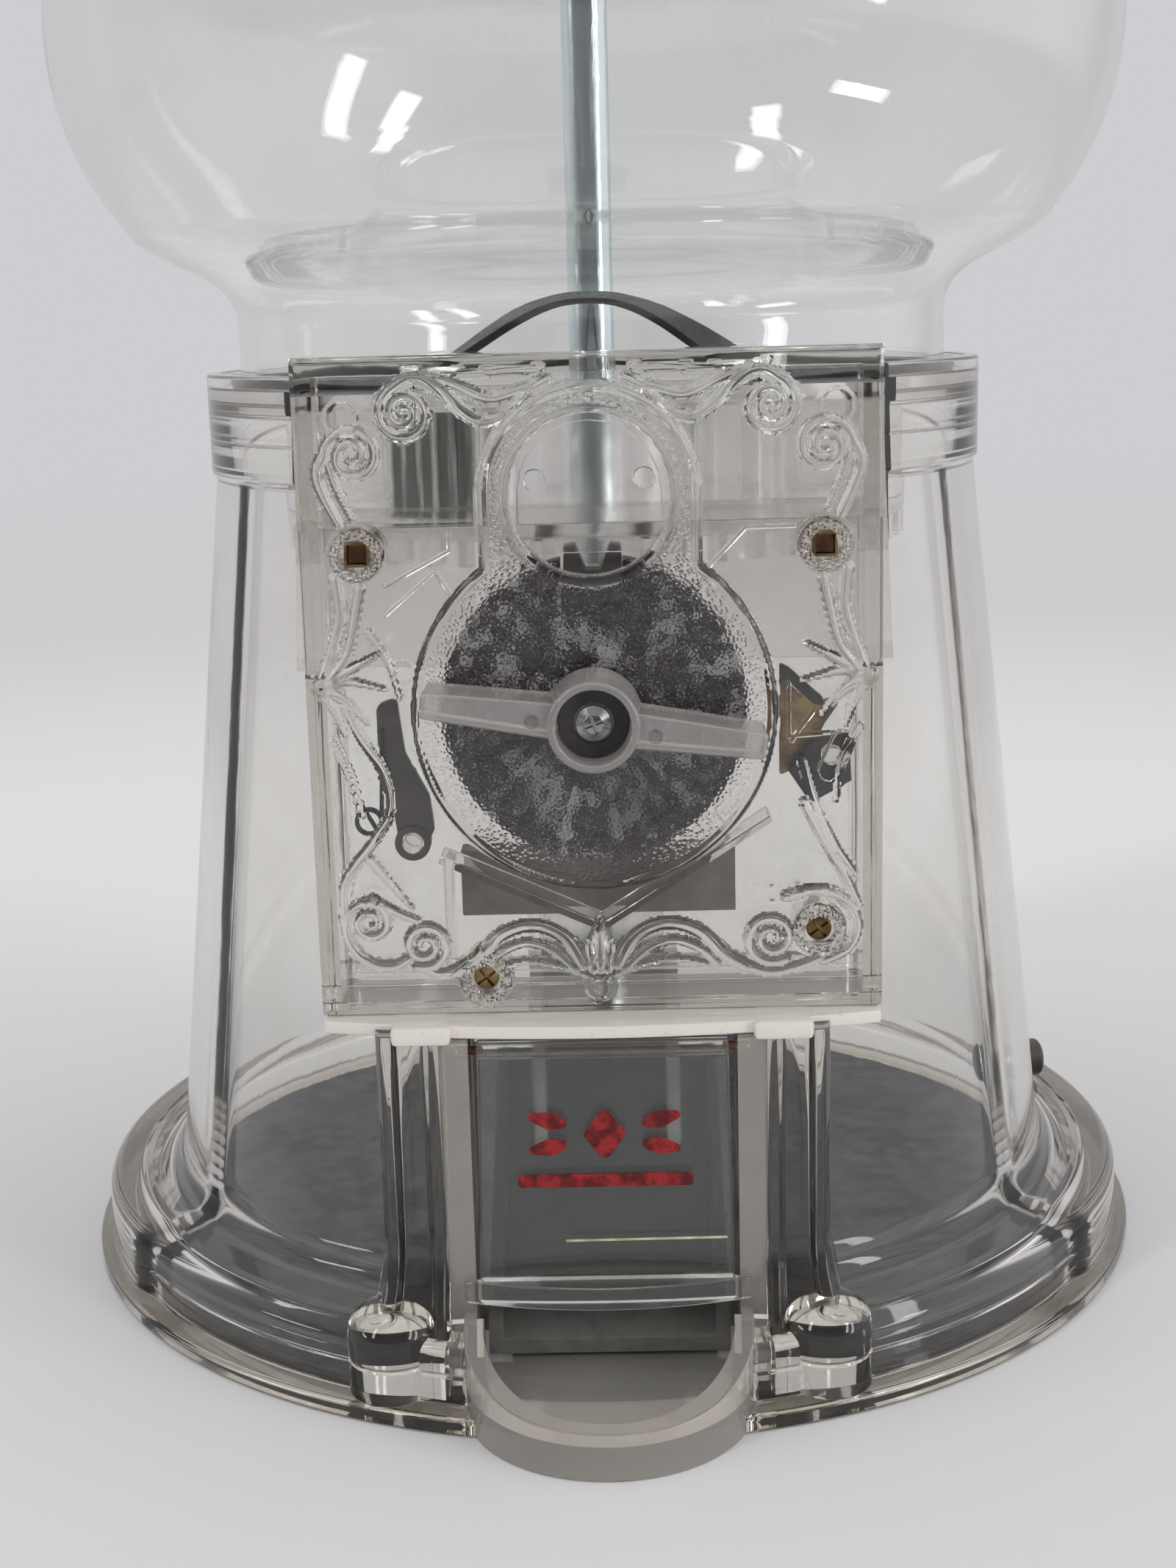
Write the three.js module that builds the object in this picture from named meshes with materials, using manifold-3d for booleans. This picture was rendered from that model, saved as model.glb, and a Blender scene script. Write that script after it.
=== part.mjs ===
// Clear acrylic coin-operated gumball machine with a glass globe on a centre rod.
// Millimetres, +Z up. The front faces -Y. The origin is on the centre rod's axis,
// at the underside of the base.
import * as THREE from 'three';
import { mergeVertices } from 'three/addons/utils/BufferGeometryUtils.js';
import Module from 'manifold-3d';

const wasm = await Module();
wasm.setup();

// ---------------------------------------------------------------- driving dimensions

const GAP = 0.3; // clearance between pieces that touch
const WALL = 3; // wall of the moulded body's collar
const SIDE_WALL = 4.4; // wall of the body below the collar
const FRONT_STEP = 1.8; // how far the wall is set in across the front
const DEGREE = Math.PI / 180;
const ROUND = 48; // facets round the body
const GLASS_ROUND = 36; // facets round the globe and its lid

const BASE_R = 114.3; // flange radius, 9 in across
const FLANGE_TOP = 3.2;
const RING_R = 111.5; // upright ring above the flange
const RING_TOP = 16.2;
const FRONT_RING_R = 109.6; // the ring is set in a little across the front
const FRONT_RING_HALF_ANGLE = 58 * DEGREE;
const WALL_FOOT = { r: 94.5, z: 28 };
const WALL_HEAD = { r: 79.4, z: 165 };
const COLLAR_R = 80.3;
const BODY_TOP = 186;
const SEAT_Z = 183.2; // ledge that carries the gasket and the globe
const SEAT_R = 66.8;
const PLATE = { r: 105, top: 2.4, pocket: 2.7 };
const PLATE_ROOM_R = PLATE.r + 0.4;
const OUTSIDE = 130; // well clear of the machine, for the tools that cut through its front

const PANEL = { halfWidth: 50.8, bottom: 72.5, top: 190, front: -90, back: -78, wall: 3.4, face: 2.6 };
const PANEL_BACK = PANEL.back + GAP; // where the pieces behind the panel begin
const FRAME_TOP = 133.4; // the body's front is open above this
const RELIEF = 1.8; // how far the keyhole plate stands out of the panel
const COIN_RING = { z: 165.7, hole: 14, outer: 19.2 };
const DISC_R = 32;
const AXLE_Z = 127.7; // height of the handle's axis

const HANDLE = { hubR: 7.9, recessR: 6.5, front: -106, back: -92.3, wingFront: -104.5, reach: 29.8 };
const HANDLE_TILT = 8.2 * DEGREE;
const SPINDLE_R = 3.175;
const COIN_WHEEL = { r: 27.2, front: -86.8, back: -81.6, notchHalf: 5.5, notchR: 16 };

const PINION = { teeth: 20, pitchR: 25, front: -65.6, back: -59.4 };
const CROWN_TEETH = 50; // the dispensing wheel turns 0.4 times as fast as the handle
const CROWN_R = PINION.pitchR * CROWN_TEETH / PINION.teeth;
const TOOTH_DEPTH = 2.2;
const DISPENSER = { r: 65.3, bottom: 158.6, top: 179, pockets: 5, pocketR: 10.5, pocketCircle: 40 };

const DOOR = { halfTop: 22.6, halfBottom: 23.4, bottom: 22, hingeY: -94.4, hingeZ: 67, barrelR: 2 };
const DOORWAY_HALF = 24.2;
const LEDGE = { bottom: 69.8, top: 72.2, halfWidth: 50.4, side: -92, bow: 6 };
const PILASTER = { inner: 29, outer: 41, front: -96.6, back: -79, top: 31 };
const TRAY = { y: -100.8, outerR: 26.5, innerR: 22.9, floor: 5.2, backRim: 17, frontRim: 8.5 };
const FOOT = { x: 39.8, y: -97.4, r: 8.5, top: 20.6 };

const ROD_R = 4.76; // 3/8 in centre rod
const GLOBE = { r: 107.7, z: 251.5, lower: 72.9, upper: 80, power: 2.107, glass: 3.2 };
const NECK = { r: 73.2, bottom: 185.4, top: 197 };
const MOUTH = { r: 66, z: 330 };
const LID = { r: 70.5, seat: 330.4, dome: 350 };
const KNOB = { r: 14, bottom: 352.6, top: 372 };

// ---------------------------------------------------------------- solids

function signedVolume(positions, triangles) {
  const a = new THREE.Vector3();
  const b = new THREE.Vector3();
  const c = new THREE.Vector3();
  let volume = 0;
  for (let i = 0; i < triangles.length; i += 3) {
    a.fromArray(positions, 3 * triangles[i]);
    b.fromArray(positions, 3 * triangles[i + 1]);
    c.fromArray(positions, 3 * triangles[i + 2]);
    volume += a.dot(b.cross(c)) / 6;
  }
  return volume;
}

function solid(geometry) {
  geometry.deleteAttribute('normal');
  geometry.deleteAttribute('uv');
  const merged = mergeVertices(geometry, 1e-4);
  const vertProperties = Float32Array.from(merged.attributes.position.array);
  const corners = Array.from(merged.index.array);
  const kept = [];
  for (let i = 0; i < corners.length; i += 3) {
    const [a, b, c] = corners.slice(i, i + 3);
    if (a !== b && b !== c && c !== a) kept.push(a, b, c);
  }
  const triVerts = Uint32Array.from(kept);
  if (signedVolume(vertProperties, triVerts) < 0) triVerts.reverse();
  return new wasm.Manifold(new wasm.Mesh({ numProp: 3, vertProperties, triVerts }));
}

function box(x0, x1, y0, y1, z0, z1) {
  const geometry = new THREE.BoxGeometry(x1 - x0, y1 - y0, z1 - z0);
  geometry.translate((x0 + x1) / 2, (y0 + y1) / 2, (z0 + z1) / 2);
  return solid(geometry);
}

// A piece turned about the rod's axis; points are [radius, height].
function turned(points, facets = ROUND) {
  const profile = points.map(([r, z]) => new THREE.Vector2(r, z));
  const geometry = new THREE.LatheGeometry(profile, facets);
  geometry.rotateX(Math.PI / 2);
  return solid(geometry);
}

function cylinderZ(r, z0, z1, x = 0, y = 0, facets = 20) {
  const geometry = new THREE.CylinderGeometry(r, r, z1 - z0, facets);
  geometry.rotateX(Math.PI / 2);
  geometry.translate(x, y, (z0 + z1) / 2);
  return solid(geometry);
}

function cylinderY(r, y0, y1, x = 0, z = 0, facets = 20) {
  const geometry = new THREE.CylinderGeometry(r, r, y1 - y0, facets);
  geometry.translate(x, (y0 + y1) / 2, z);
  return solid(geometry);
}

function cylinderX(r, x0, x1, y, z, facets = 12) {
  const geometry = new THREE.CylinderGeometry(r, r, x1 - x0, facets);
  geometry.rotateZ(Math.PI / 2);
  geometry.translate((x0 + x1) / 2, y, z);
  return solid(geometry);
}

function outline(points) {
  return new THREE.Shape(points.map(([u, v]) => new THREE.Vector2(u, v)));
}

// An outline in X and Z, as thick as the stretch from y0 to y1.
function slabY(points, y0, y1) {
  const geometry = new THREE.ExtrudeGeometry(outline(points), { depth: y1 - y0, bevelEnabled: false });
  geometry.rotateX(Math.PI / 2);
  geometry.translate(0, y1, 0);
  return solid(geometry);
}

// An outline in X and Y, from z0 up to z1.
function slabZ(points, z0, z1) {
  const geometry = new THREE.ExtrudeGeometry(outline(points), { depth: z1 - z0, bevelEnabled: false });
  geometry.translate(0, 0, z0);
  return solid(geometry);
}

// An outline in Y and Z, from x0 across to x1.
function slabX(points, x0, x1) {
  const geometry = new THREE.ExtrudeGeometry(outline(points), { depth: x1 - x0, bevelEnabled: false });
  geometry.rotateY(Math.PI / 2);
  geometry.rotateX(Math.PI / 2);
  geometry.translate(x0, 0, 0);
  return solid(geometry);
}

// A straight bar between two points of the X and Z plane.
function barY([xa, za], [xb, zb], width, y0, y1) {
  const length = Math.hypot(xb - xa, zb - za);
  const across = [-(zb - za) / length * width / 2, (xb - xa) / length * width / 2];
  const corners = [
    [xa - across[0], za - across[1]], [xb - across[0], zb - across[1]],
    [xb + across[0], zb + across[1]], [xa + across[0], za + across[1]],
  ];
  return slabY(corners, y0, y1);
}

function wire(points, r) {
  const extrudePath = new THREE.CatmullRomCurve3(points.map((p) => new THREE.Vector3(...p)));
  const section = outline(arc(0, 0, r, 0, 300, 5));
  return solid(new THREE.ExtrudeGeometry(section, { extrudePath, steps: 2 * points.length, bevelEnabled: false }));
}

function arc(x, z, r, from, to, steps) {
  const points = [];
  for (let i = 0; i <= steps; i += 1) {
    const angle = (from + (to - from) * i / steps) * DEGREE;
    points.push([x + r * Math.cos(angle), z + r * Math.sin(angle)]);
  }
  return points;
}

function joined(...pieces) {
  return pieces.reduce((sum, piece) => sum.add(piece));
}

function cut(body, ...tools) {
  return tools.reduce((rest, tool) => rest.subtract(tool), body);
}

// ---------------------------------------------------------------- materials and placing

const machine = new THREE.Group();

function clearPlastic() {
  const look = { color: 0xdcdcd6, roughness: 0.05, metalness: 0, transparent: true, opacity: 0.35 };
  return new THREE.MeshStandardMaterial(look);
}

function opaque(color, roughness, metalness = 0) {
  return new THREE.MeshStandardMaterial({ color, roughness, metalness });
}

const charcoal = () => opaque(0x4c4c50, 0.55);
const darkPlastic = () => opaque(0x463e44, 0.45);
const brownPlastic = () => opaque(0x4a3c38, 0.5);
const zincSteel = () => opaque(0x9fb0b4, 0.3, 1);
const brass = () => opaque(0xa98643, 0.35, 1);
const blackRubber = () => opaque(0x1c1c1e, 0.6);
const springSteel = () => opaque(0x2c2c2e, 0.4, 1);
const rustySteel = () => opaque(0x6b4a36, 0.7, 0.6);

function place(name, piece, material) {
  const { vertProperties, triVerts } = piece.getMesh();
  const geometry = new THREE.BufferGeometry();
  geometry.setAttribute('position', new THREE.BufferAttribute(vertProperties, 3));
  geometry.setIndex(new THREE.BufferAttribute(triVerts, 1));
  geometry.computeVertexNormals();
  const mesh = new THREE.Mesh(geometry, material);
  mesh.name = name;
  machine.add(mesh);
}

// ---------------------------------------------------------------- body

function bodyWall() {
  const flare = [[108.4, RING_TOP], [104.6, 16.6], [101, 17.8], [97.9, 20], [95.6, 23.8]];
  const outside = [
    [BASE_R, 0], [BASE_R, FLANGE_TOP], [RING_R, FLANGE_TOP + 0.4], [RING_R, RING_TOP - 3.6],
    [RING_R - 1, RING_TOP - 1.2], ...flare, [WALL_FOOT.r, WALL_FOOT.z],
    [WALL_HEAD.r, WALL_HEAD.z], [COLLAR_R, WALL_HEAD.z + 1], [COLLAR_R, BODY_TOP],
  ];
  const inside = [
    [COLLAR_R - WALL, BODY_TOP], [COLLAR_R - WALL, SEAT_Z], [SEAT_R, SEAT_Z], [SEAT_R, SEAT_Z - 3],
    [COLLAR_R - WALL - 0.6, SEAT_Z - 4.6], [WALL_HEAD.r - SIDE_WALL, WALL_HEAD.z],
    [WALL_FOOT.r - SIDE_WALL, WALL_FOOT.z], [92.4, 20], [96.6, 14.2], [PLATE_ROOM_R, 11.2],
    [PLATE_ROOM_R, 0],
  ];
  return turned([...outside, ...inside, outside[0]]);
}

// Across the front the wall and the ring stand a little further in than round the sides and back.
function frontRelief() {
  const steps = 12;
  const points = [[0, 0]];
  for (let i = 0; i <= steps; i += 1) {
    const angle = FRONT_RING_HALF_ANGLE * (2 * i / steps - 1);
    points.push([OUTSIDE * Math.sin(angle), -OUTSIDE * Math.cos(angle)]);
  }
  const top = WALL_HEAD.z - 0.4;
  const wedge = slabZ(points, FLANGE_TOP + 0.2, top);
  const cove = [
    [WALL_FOOT.r - FRONT_STEP, WALL_FOOT.z], [94.2, 21], [97, 17.6], [100.6, 15.6], [104.6, 15.1],
    [107.4, 14.7], [FRONT_RING_R, 12.6], [FRONT_RING_R, FLANGE_TOP],
  ];
  const profile = [
    [OUTSIDE, FLANGE_TOP], [OUTSIDE, top], [WALL_HEAD.r - FRONT_STEP, top], ...cove, [OUTSIDE, FLANGE_TOP],
  ];
  return wedge.intersect(turned(profile));
}

function foot(side) {
  const { r: edge, top } = FOOT;
  const dome = [
    [0, 1], [edge, 1], [edge, top - 5.9], [edge - 0.5, top - 3.9], [edge - 1.9, top - 2.1],
    [edge - 4.1, top - 0.7], [edge - 6.6, top - 0.1], [0, top],
  ];
  const profile = dome.map(([r, z]) => new THREE.Vector2(r, z));
  const geometry = new THREE.LatheGeometry(profile, 20);
  geometry.rotateX(Math.PI / 2);
  geometry.translate(side * FOOT.x, FOOT.y, 0);
  return solid(geometry);
}

// A column with a rib along each front edge; its foot sweeps forward on to the ring.
function pilaster(side) {
  const { inner, outer, front, back, top } = PILASTER;
  const flat = front + 1.6;
  const points = [
    [inner, back], [inner, flat], [inner + 1, front], [inner + 2.2, front + 0.6], [inner + 3, flat],
    [outer - 4, flat], [outer - 3.2, front + 0.6], [outer - 2, front], [outer - 0.6, flat],
    [outer, flat + 2.5], [outer, back],
  ];
  const column = points.map(([x, y]) => [side * x, y]);
  if (side > 0) column.reverse();
  const [sweepBack, sweepFront] = [front + 6.6, front - 4.4];
  const sweep = [
    [sweepBack, 3], [sweepFront, 3], [sweepFront, 14], [sweepFront + 2.6, 18], [front, 24], [flat, top],
    [sweepBack, top],
  ];
  const [left, right] = [side * (inner + 0.6), side * (outer + 1)].sort((a, b) => a - b);
  return joined(slabZ(column, PLATE.pocket, LEDGE.top - 1), slabX(sweep, left, right));
}

function trayOutline(r, back) {
  const front = arc(0, TRAY.y, r, 180, 360, 16);
  return [[-r, back], ...front, [r, back]];
}

function tray() {
  const { y, outerR, backRim, frontRim } = TRAY;
  const back = -88;
  const front = y - outerR - 12.7;
  const above = 40;
  const block = slabZ(trayOutline(outerR, back), 0, backRim);
  const slope = [
    [back, backRim + 1], [back - 10, backRim], [y - outerR - 0.3, frontRim], [front, frontRim - 3.6],
    [front, above], [back, above],
  ];
  return cut(block, slabX(slope, -40, 40));
}

// The panel stands on a shallow curved ledge with two raised pads.
function ledge() {
  const { bottom, top, halfWidth, side, bow } = LEDGE;
  const back = -72;
  const steps = 12;
  const front = [];
  for (let i = 0; i <= steps; i += 1) {
    const share = 2 * i / steps - 1;
    front.push([halfWidth * share, side - bow * (1 - share ** 2)]);
  }
  const pad = { x: 32.5, half: 5.4, front: -97.4, back: -80 };
  const padAt = (x) => box(x - pad.half, x + pad.half, pad.front, pad.back, bottom - 1, top - 0.1);
  return joined(slabZ([[-halfWidth, back], ...front, [halfWidth, back]], bottom, top), padAt(-pad.x), padAt(pad.x));
}

function panelFrame() {
  const { halfWidth, wall, front } = PANEL;
  const back = -60;
  const frame = box(-halfWidth, halfWidth, PANEL_BACK, back, LEDGE.top - 0.2, FRAME_TOP);
  const inside = box(-halfWidth + wall, halfWidth - wall, front, back + 10, LEDGE.top + 2.4, FRAME_TOP + 6.6);
  return { frame, inside };
}

function rearPlugHole() {
  return radialPeg(4.6, 84, 120);
}

function radialPeg(r, from, to) {
  const geometry = new THREE.CylinderGeometry(r, r, to - from, 14);
  geometry.rotateZ(-Math.PI / 2);
  geometry.translate((from + to) / 2, 0, 22);
  geometry.rotateZ(12.5 * DEGREE);
  return solid(geometry);
}

function bodyShell() {
  const { frame, inside } = panelFrame();
  const { halfWidth, wall: side } = PANEL;
  const doorFrame = box(-29.4, 29.4, -96.4, -80, PLATE.pocket, LEDGE.bottom + 0.4);
  const upperWindow = box(-54.6, 54.6, -OUTSIDE, -46.7, FRAME_TOP + GAP, 200);
  const lowerWindow = box(-halfWidth + side, halfWidth - side, -OUTSIDE, -50, LEDGE.top + 2.4, FRAME_TOP + 0.6);
  const panelRoom = box(-halfWidth - 0.4, halfWidth + 0.4, -OUTSIDE, PANEL_BACK, LEDGE.top, FRAME_TOP + 0.6);
  const doorway = box(-DOORWAY_HALF, DOORWAY_HALF, -99, -70, TRAY.floor, DOOR.hingeZ + DOOR.barrelR + 0.5);
  const lipRoom = box(-26.9, 26.9, -104, -96.4, 18.6, 24.6);
  const front = [frame, ledge(), doorFrame, tray(), foot(-1), foot(1), pilaster(-1), pilaster(1)];
  const wall = cut(bodyWall(), frontRelief(), upperWindow);
  return cut(
    joined(wall, ...front),
    lowerWindow,
    panelRoom,
    inside,
    cylinderZ(PLATE_ROOM_R, -1, PLATE.pocket, 0, 0, ROUND),
    doorway,
    slabZ(trayOutline(TRAY.innerR, -90), TRAY.floor, 40),
    lipRoom,
    cylinderX(1.1, -26.4, 26.4, DOOR.hingeY, DOOR.hingeZ, 10),
    rearPlugHole(),
  );
}

place('body_shell', bodyShell(), clearPlastic());
place('rear_plug', radialPeg(4.3, 90, 103.4), blackRubber());

function basePlate() {
  const disc = turned([[0, 0], [PLATE.r, 0], [PLATE.r, PLATE.top], [0, PLATE.top]]);
  const boss = turned([[0, 1], [9, 1], [9, 8], [0, 8]], 20);
  return cut(joined(disc, boss), cylinderZ(ROD_R + GAP, PLATE.top, 20));
}

place('base_plate', basePlate(), charcoal());

// ---------------------------------------------------------------- front panel

const PANEL_SCREWS = [[-40.7, 156.2], [40.7, 156.2], [39.5, 86.9], [-20.8, 78.9]];

function keyhole(y0, y1) {
  const ring = arc(0, COIN_RING.z, COIN_RING.outer, 0, 180, 18);
  const shoulders = [[-COIN_RING.outer, AXLE_Z + 20], [COIN_RING.outer, AXLE_Z + 20]];
  return joined(slabY([...ring, ...shoulders], y0, y1), cylinderY(DISC_R, y0, y1, 0, AXLE_Z, 40));
}

function panelBox() {
  const { halfWidth, bottom, top, front, back, wall, face } = PANEL;
  const corner = 2.4;
  const rounded = [
    [-halfWidth, bottom], [halfWidth, bottom], [halfWidth, top - corner], [halfWidth - 0.8, top - 0.8],
    [halfWidth - corner, top], [-halfWidth + corner, top], [-halfWidth + 0.8, top - 0.8],
    [-halfWidth, top - corner],
  ];
  const inner = box(-halfWidth + wall, halfWidth - wall, front + face, back + 5, bottom + 2, top - wall);
  return cut(slabY(rounded, front, back), inner);
}

// Ribs behind the panel lead a spent coin down to the bank.
function coinRibs(y0, y1) {
  return joined(
    barY([-28.5, 101], [1, 87.6], 1.6, y0, y1),
    barY([0, 87.6], [31, 107.4], 1.6, y0, y1),
    barY([-27.2, 101], [-27.2, 81], 1.6, y0, y1),
  );
}

function frontPanel() {
  const { front, face } = PANEL;
  const bosses = PANEL_SCREWS.map(([x, z]) => cylinderY(4.6, front + 1, -79, x, z, 16));
  const holes = PANEL_SCREWS.map(([x, z]) => cylinderY(2.7, front - 1, -70, x, z, 12));
  const body = joined(panelBox(), keyhole(front - RELIEF, front + 0.5), coinRibs(front + face - 0.4, -80),
    ...bosses);
  return cut(
    body,
    cylinderY(COIN_RING.hole, -100, front + face + 0.2, 0, COIN_RING.z, 28),
    cylinderY(SPINDLE_R + GAP, -100, -80, 0, AXLE_Z, 16),
    ...holes,
  );
}

place('front_panel', frontPanel(), clearPlastic());

PANEL_SCREWS.forEach(([x, z], i) => {
  const screw = joined(cylinderY(2.3, -88.8, -86.4, x, z, 12), cylinderY(1.5, -87, -73.2, x, z, 8));
  place(`panel_screw_${i + 1}`, screw, brass());
});

// A clear carrier behind the ring holds the coin on edge above the coin wheel.
function coinCarrier() {
  const plate = box(-18.5, 18.5, -87.1, -84.6, 155.2, 184.6);
  const coinHalf = 12.6;
  const slot = joined(
    cylinderY(coinHalf, -90, -85.8, 0, COIN_RING.z, 24),
    box(-coinHalf, coinHalf, -90, -85.8, 150, COIN_RING.z),
  );
  const pegs = [-9.6, 9.6].map((x) => cylinderY(1.9, -85, -83.6, x, 168, 12));
  return joined(cut(plate, slot), ...pegs);
}

place('coin_carrier', coinCarrier(), clearPlastic());

// ---------------------------------------------------------------- handle, spindle and coin wheel

function tilted(geometryPoints, y0, y1) {
  const points = geometryPoints.map(([x, z]) => {
    const c = Math.cos(HANDLE_TILT);
    const s = Math.sin(HANDLE_TILT);
    return [c * x + s * z, AXLE_Z - s * x + c * z];
  });
  return slabY(points, y0, y1);
}

function handle() {
  const { hubR, recessR, front, back, wingFront, reach } = HANDLE;
  const wings = tilted([[-reach, -2.3], [0, -3], [reach, -2.3], [reach, 2.3], [0, 3], [-reach, 2.3]],
    wingFront, back);
  const hub = cylinderY(hubR, front, back, 0, AXLE_Z, 28);
  return cut(
    joined(hub, wings),
    cylinderY(recessR, front - 1, -100, 0, AXLE_Z, 24),
    cylinderY(1.9, -101, -96, 0, AXLE_Z, 12),
    cylinderY(SPINDLE_R + GAP, -97.5, -90, 0, AXLE_Z, 16),
  );
}

place('handle', handle(), clearPlastic());

function handleScrew() {
  return joined(cylinderY(3.2, -102.4, -100.3, 0, AXLE_Z, 14), cylinderY(1.5, -101, -97.8, 0, AXLE_Z, 8));
}

place('handle_screw', handleScrew(), zincSteel());
place('spindle', cylinderY(SPINDLE_R, -97.2, -56.6, 0, AXLE_Z, 16), zincSteel());

function washer(r, y0, y1) {
  return cut(cylinderY(r, y0, y1, 0, AXLE_Z, 18), cylinderY(SPINDLE_R + GAP, y0 - 1, y1 + 1, 0, AXLE_Z, 16));
}

place('spindle_washer', washer(7, -81.2, -80.2), zincSteel());
place('spindle_clip', washer(5.6, -58.8, -57.8), springSteel());

function coinWheel() {
  const { r, front, back, notchHalf, notchR } = COIN_WHEEL;
  return cut(
    cylinderY(r, front, back, 0, AXLE_Z, 36),
    cylinderY(SPINDLE_R + GAP, -90, -75, 0, AXLE_Z, 16),
    box(-notchHalf, notchHalf, -90, -75, AXLE_Z + notchR, AXLE_Z + 30),
  );
}

place('coin_wheel', coinWheel(), darkPlastic());

function driveGear() {
  const { teeth, pitchR, front, back } = PINION;
  const root = pitchR - TOOTH_DEPTH - 0.5;
  const tip = pitchR + TOOTH_DEPTH;
  const points = [];
  for (let i = 0; i < teeth; i += 1) {
    const middle = (i + 0.5) * 360 / teeth + 90;
    for (const [r, halfWidth] of [[root, -2.1], [tip, -1], [tip, 1], [root, 2.1]]) {
      const angle = middle * DEGREE + halfWidth / r;
      points.push([r * Math.cos(angle), AXLE_Z + r * Math.sin(angle)]);
    }
  }
  return cut(slabY(points, front, back), cylinderY(SPINDLE_R + GAP, -70, -50, 0, AXLE_Z, 16));
}

place('drive_gear', driveGear(), darkPlastic());

// ---------------------------------------------------------------- fixed mechanism pieces

function mechanismPlate() {
  const plate = box(-47, 47, -72.6, -70.2, 75, 159.2);
  return cut(plate, cylinderY(SPINDLE_R + GAP, -80, -60, 0, AXLE_Z, 16));
}

place('mechanism_plate', mechanismPlate(), clearPlastic());
place('coin_block', box(-25.4, 25, -78.6, -72.9, 88, 100.2), brownPlastic());

const LEFT_PIVOT = [-33.8, 102.7];
const RIGHT_PIVOT = [42.4, 117.6];

function leftPawl() {
  const arm = [
    [-37.4, 104], [-38.2, 112], [-39.2, 128.4], [-35.6, 129.6], [-34.4, 118], [-30.4, 111], [-29.6, 104.6],
    [-31.6, 100], [-36, 100],
  ];
  const boss = cylinderY(3.3, -82, -78.4, ...LEFT_PIVOT, 16);
  const body = joined(slabY(arm, -81, -78.4), boss);
  return cut(body, cylinderY(2.1, -90, -70, ...LEFT_PIVOT, 12));
}

place('left_pawl', leftPawl(), darkPlastic());
place('left_pawl_pin', cylinderY(1.8, -82.6, -72.9, ...LEFT_PIVOT, 12), clearPlastic());

// One turn of wire round a post, with a leg from each end.
function torsionSpring() {
  const turns = arc(-41.6, 106.7, 2.4, 0, 340, 10).map(([x, z], i) => [x, -81.2 + 0.16 * i, z]);
  const nearLeg = barY([-39.2, 106.7], [-42.2, 124.4], 0.9, -81.7, -80.8);
  const farLeg = barY([-39.4, 106], [-45.6, 117.4], 0.9, -80, -79.1);
  return joined(wire(turns, 0.5), nearLeg, farLeg);
}

place('left_pawl_spring', torsionSpring(), springSteel());

const GAUGE = [[33.2, 113], [36.4, 111.6], [44.2, 121.4], [45.4, 131], [38.4, 128], [33.6, 134]];
place('brass_gauge', slabY(GAUGE, -77.9, -76.6), brass());

function rightPawl() {
  const arm = [[34.6, 114.6], [38.6, 108.6], [46, 112.6], [45.6, 121.6], [40.6, 121.4]];
  return cut(slabY(arm, -81.6, -79.2), cylinderY(2, -90, -70, ...RIGHT_PIVOT, 12));
}

place('right_pawl', rightPawl(), darkPlastic());
place('right_pawl_pin', cylinderY(1.7, -82.6, -78.2, ...RIGHT_PIVOT, 12), clearPlastic());

// ---------------------------------------------------------------- hopper, dispensing wheel and chute

function hopperHousing() {
  const front = PANEL_BACK;
  const back = -47.2;
  const bottom = FRAME_TOP + 0.6;
  const side = (s) => {
    const points = [[48.4, bottom], [54, bottom], [51.8, SEAT_Z], [48.4, SEAT_Z]].map(([x, z]) => [s * x, z]);
    return slabY(s > 0 ? points : points.reverse(), front, back);
  };
  const roof = box(-51, 51, front, back, SEAT_Z - 2.8, SEAT_Z);
  const shelf = box(-49, 49, front, -67.8, 159.8, 162.4);
  const opening = cylinderZ(SEAT_R, SEAT_Z - 6, SEAT_Z + 6, 0, 0, ROUND);
  const apron = (s) => {
    const [left, right] = [s * 21, s * 49].sort((a, b) => a - b);
    const sheet = box(left, right, front + 0.4, front + 2.4, bottom + 0.6, 160.4);
    return cut(sheet, cylinderY(2.2, -80, -70, s * PANEL_SCREWS[1][0], PANEL_SCREWS[1][1]));
  };
  return joined(cut(roof, opening), shelf, side(-1), side(1), apron(-1), apron(1));
}

place('hopper_housing', hopperHousing(), clearPlastic());

function hopperFloor() {
  const floor = turned([[ROD_R + GAP, 155.4], [57.4, 155.4], [57.4, 158.2], [ROD_R + GAP, 158.2],
    [ROD_R + GAP, 155.4]]);
  return cut(floor, cylinderZ(11, 150, 160, 0, -DISPENSER.pocketCircle, 20));
}

place('hopper_floor', hopperFloor(), clearPlastic());

function dispensingWheel() {
  const { r, bottom, top, pockets, pocketR, pocketCircle } = DISPENSER;
  const hub = { inner: ROD_R + GAP, outer: 12, rise: 3, foot: 14 };
  const disc = turned([
    [hub.inner, bottom], [r, bottom], [r, top], [hub.foot, top], [hub.outer, top + hub.rise],
    [hub.inner, top + hub.rise], [hub.inner, bottom],
  ]);
  const holes = [];
  for (let i = 0; i < pockets; i += 1) {
    const angle = 2 * Math.PI * (i + 0.5) / pockets;
    const x = pocketCircle * Math.sin(angle);
    const y = -pocketCircle * Math.cos(angle);
    holes.push(cylinderZ(pocketR, bottom - 1, top + 1, x, y, 20));
  }
  return cut(disc, ...holes);
}

place('dispensing_wheel', dispensingWheel(), opaque(0xb9bcbc, 0.3));

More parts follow.
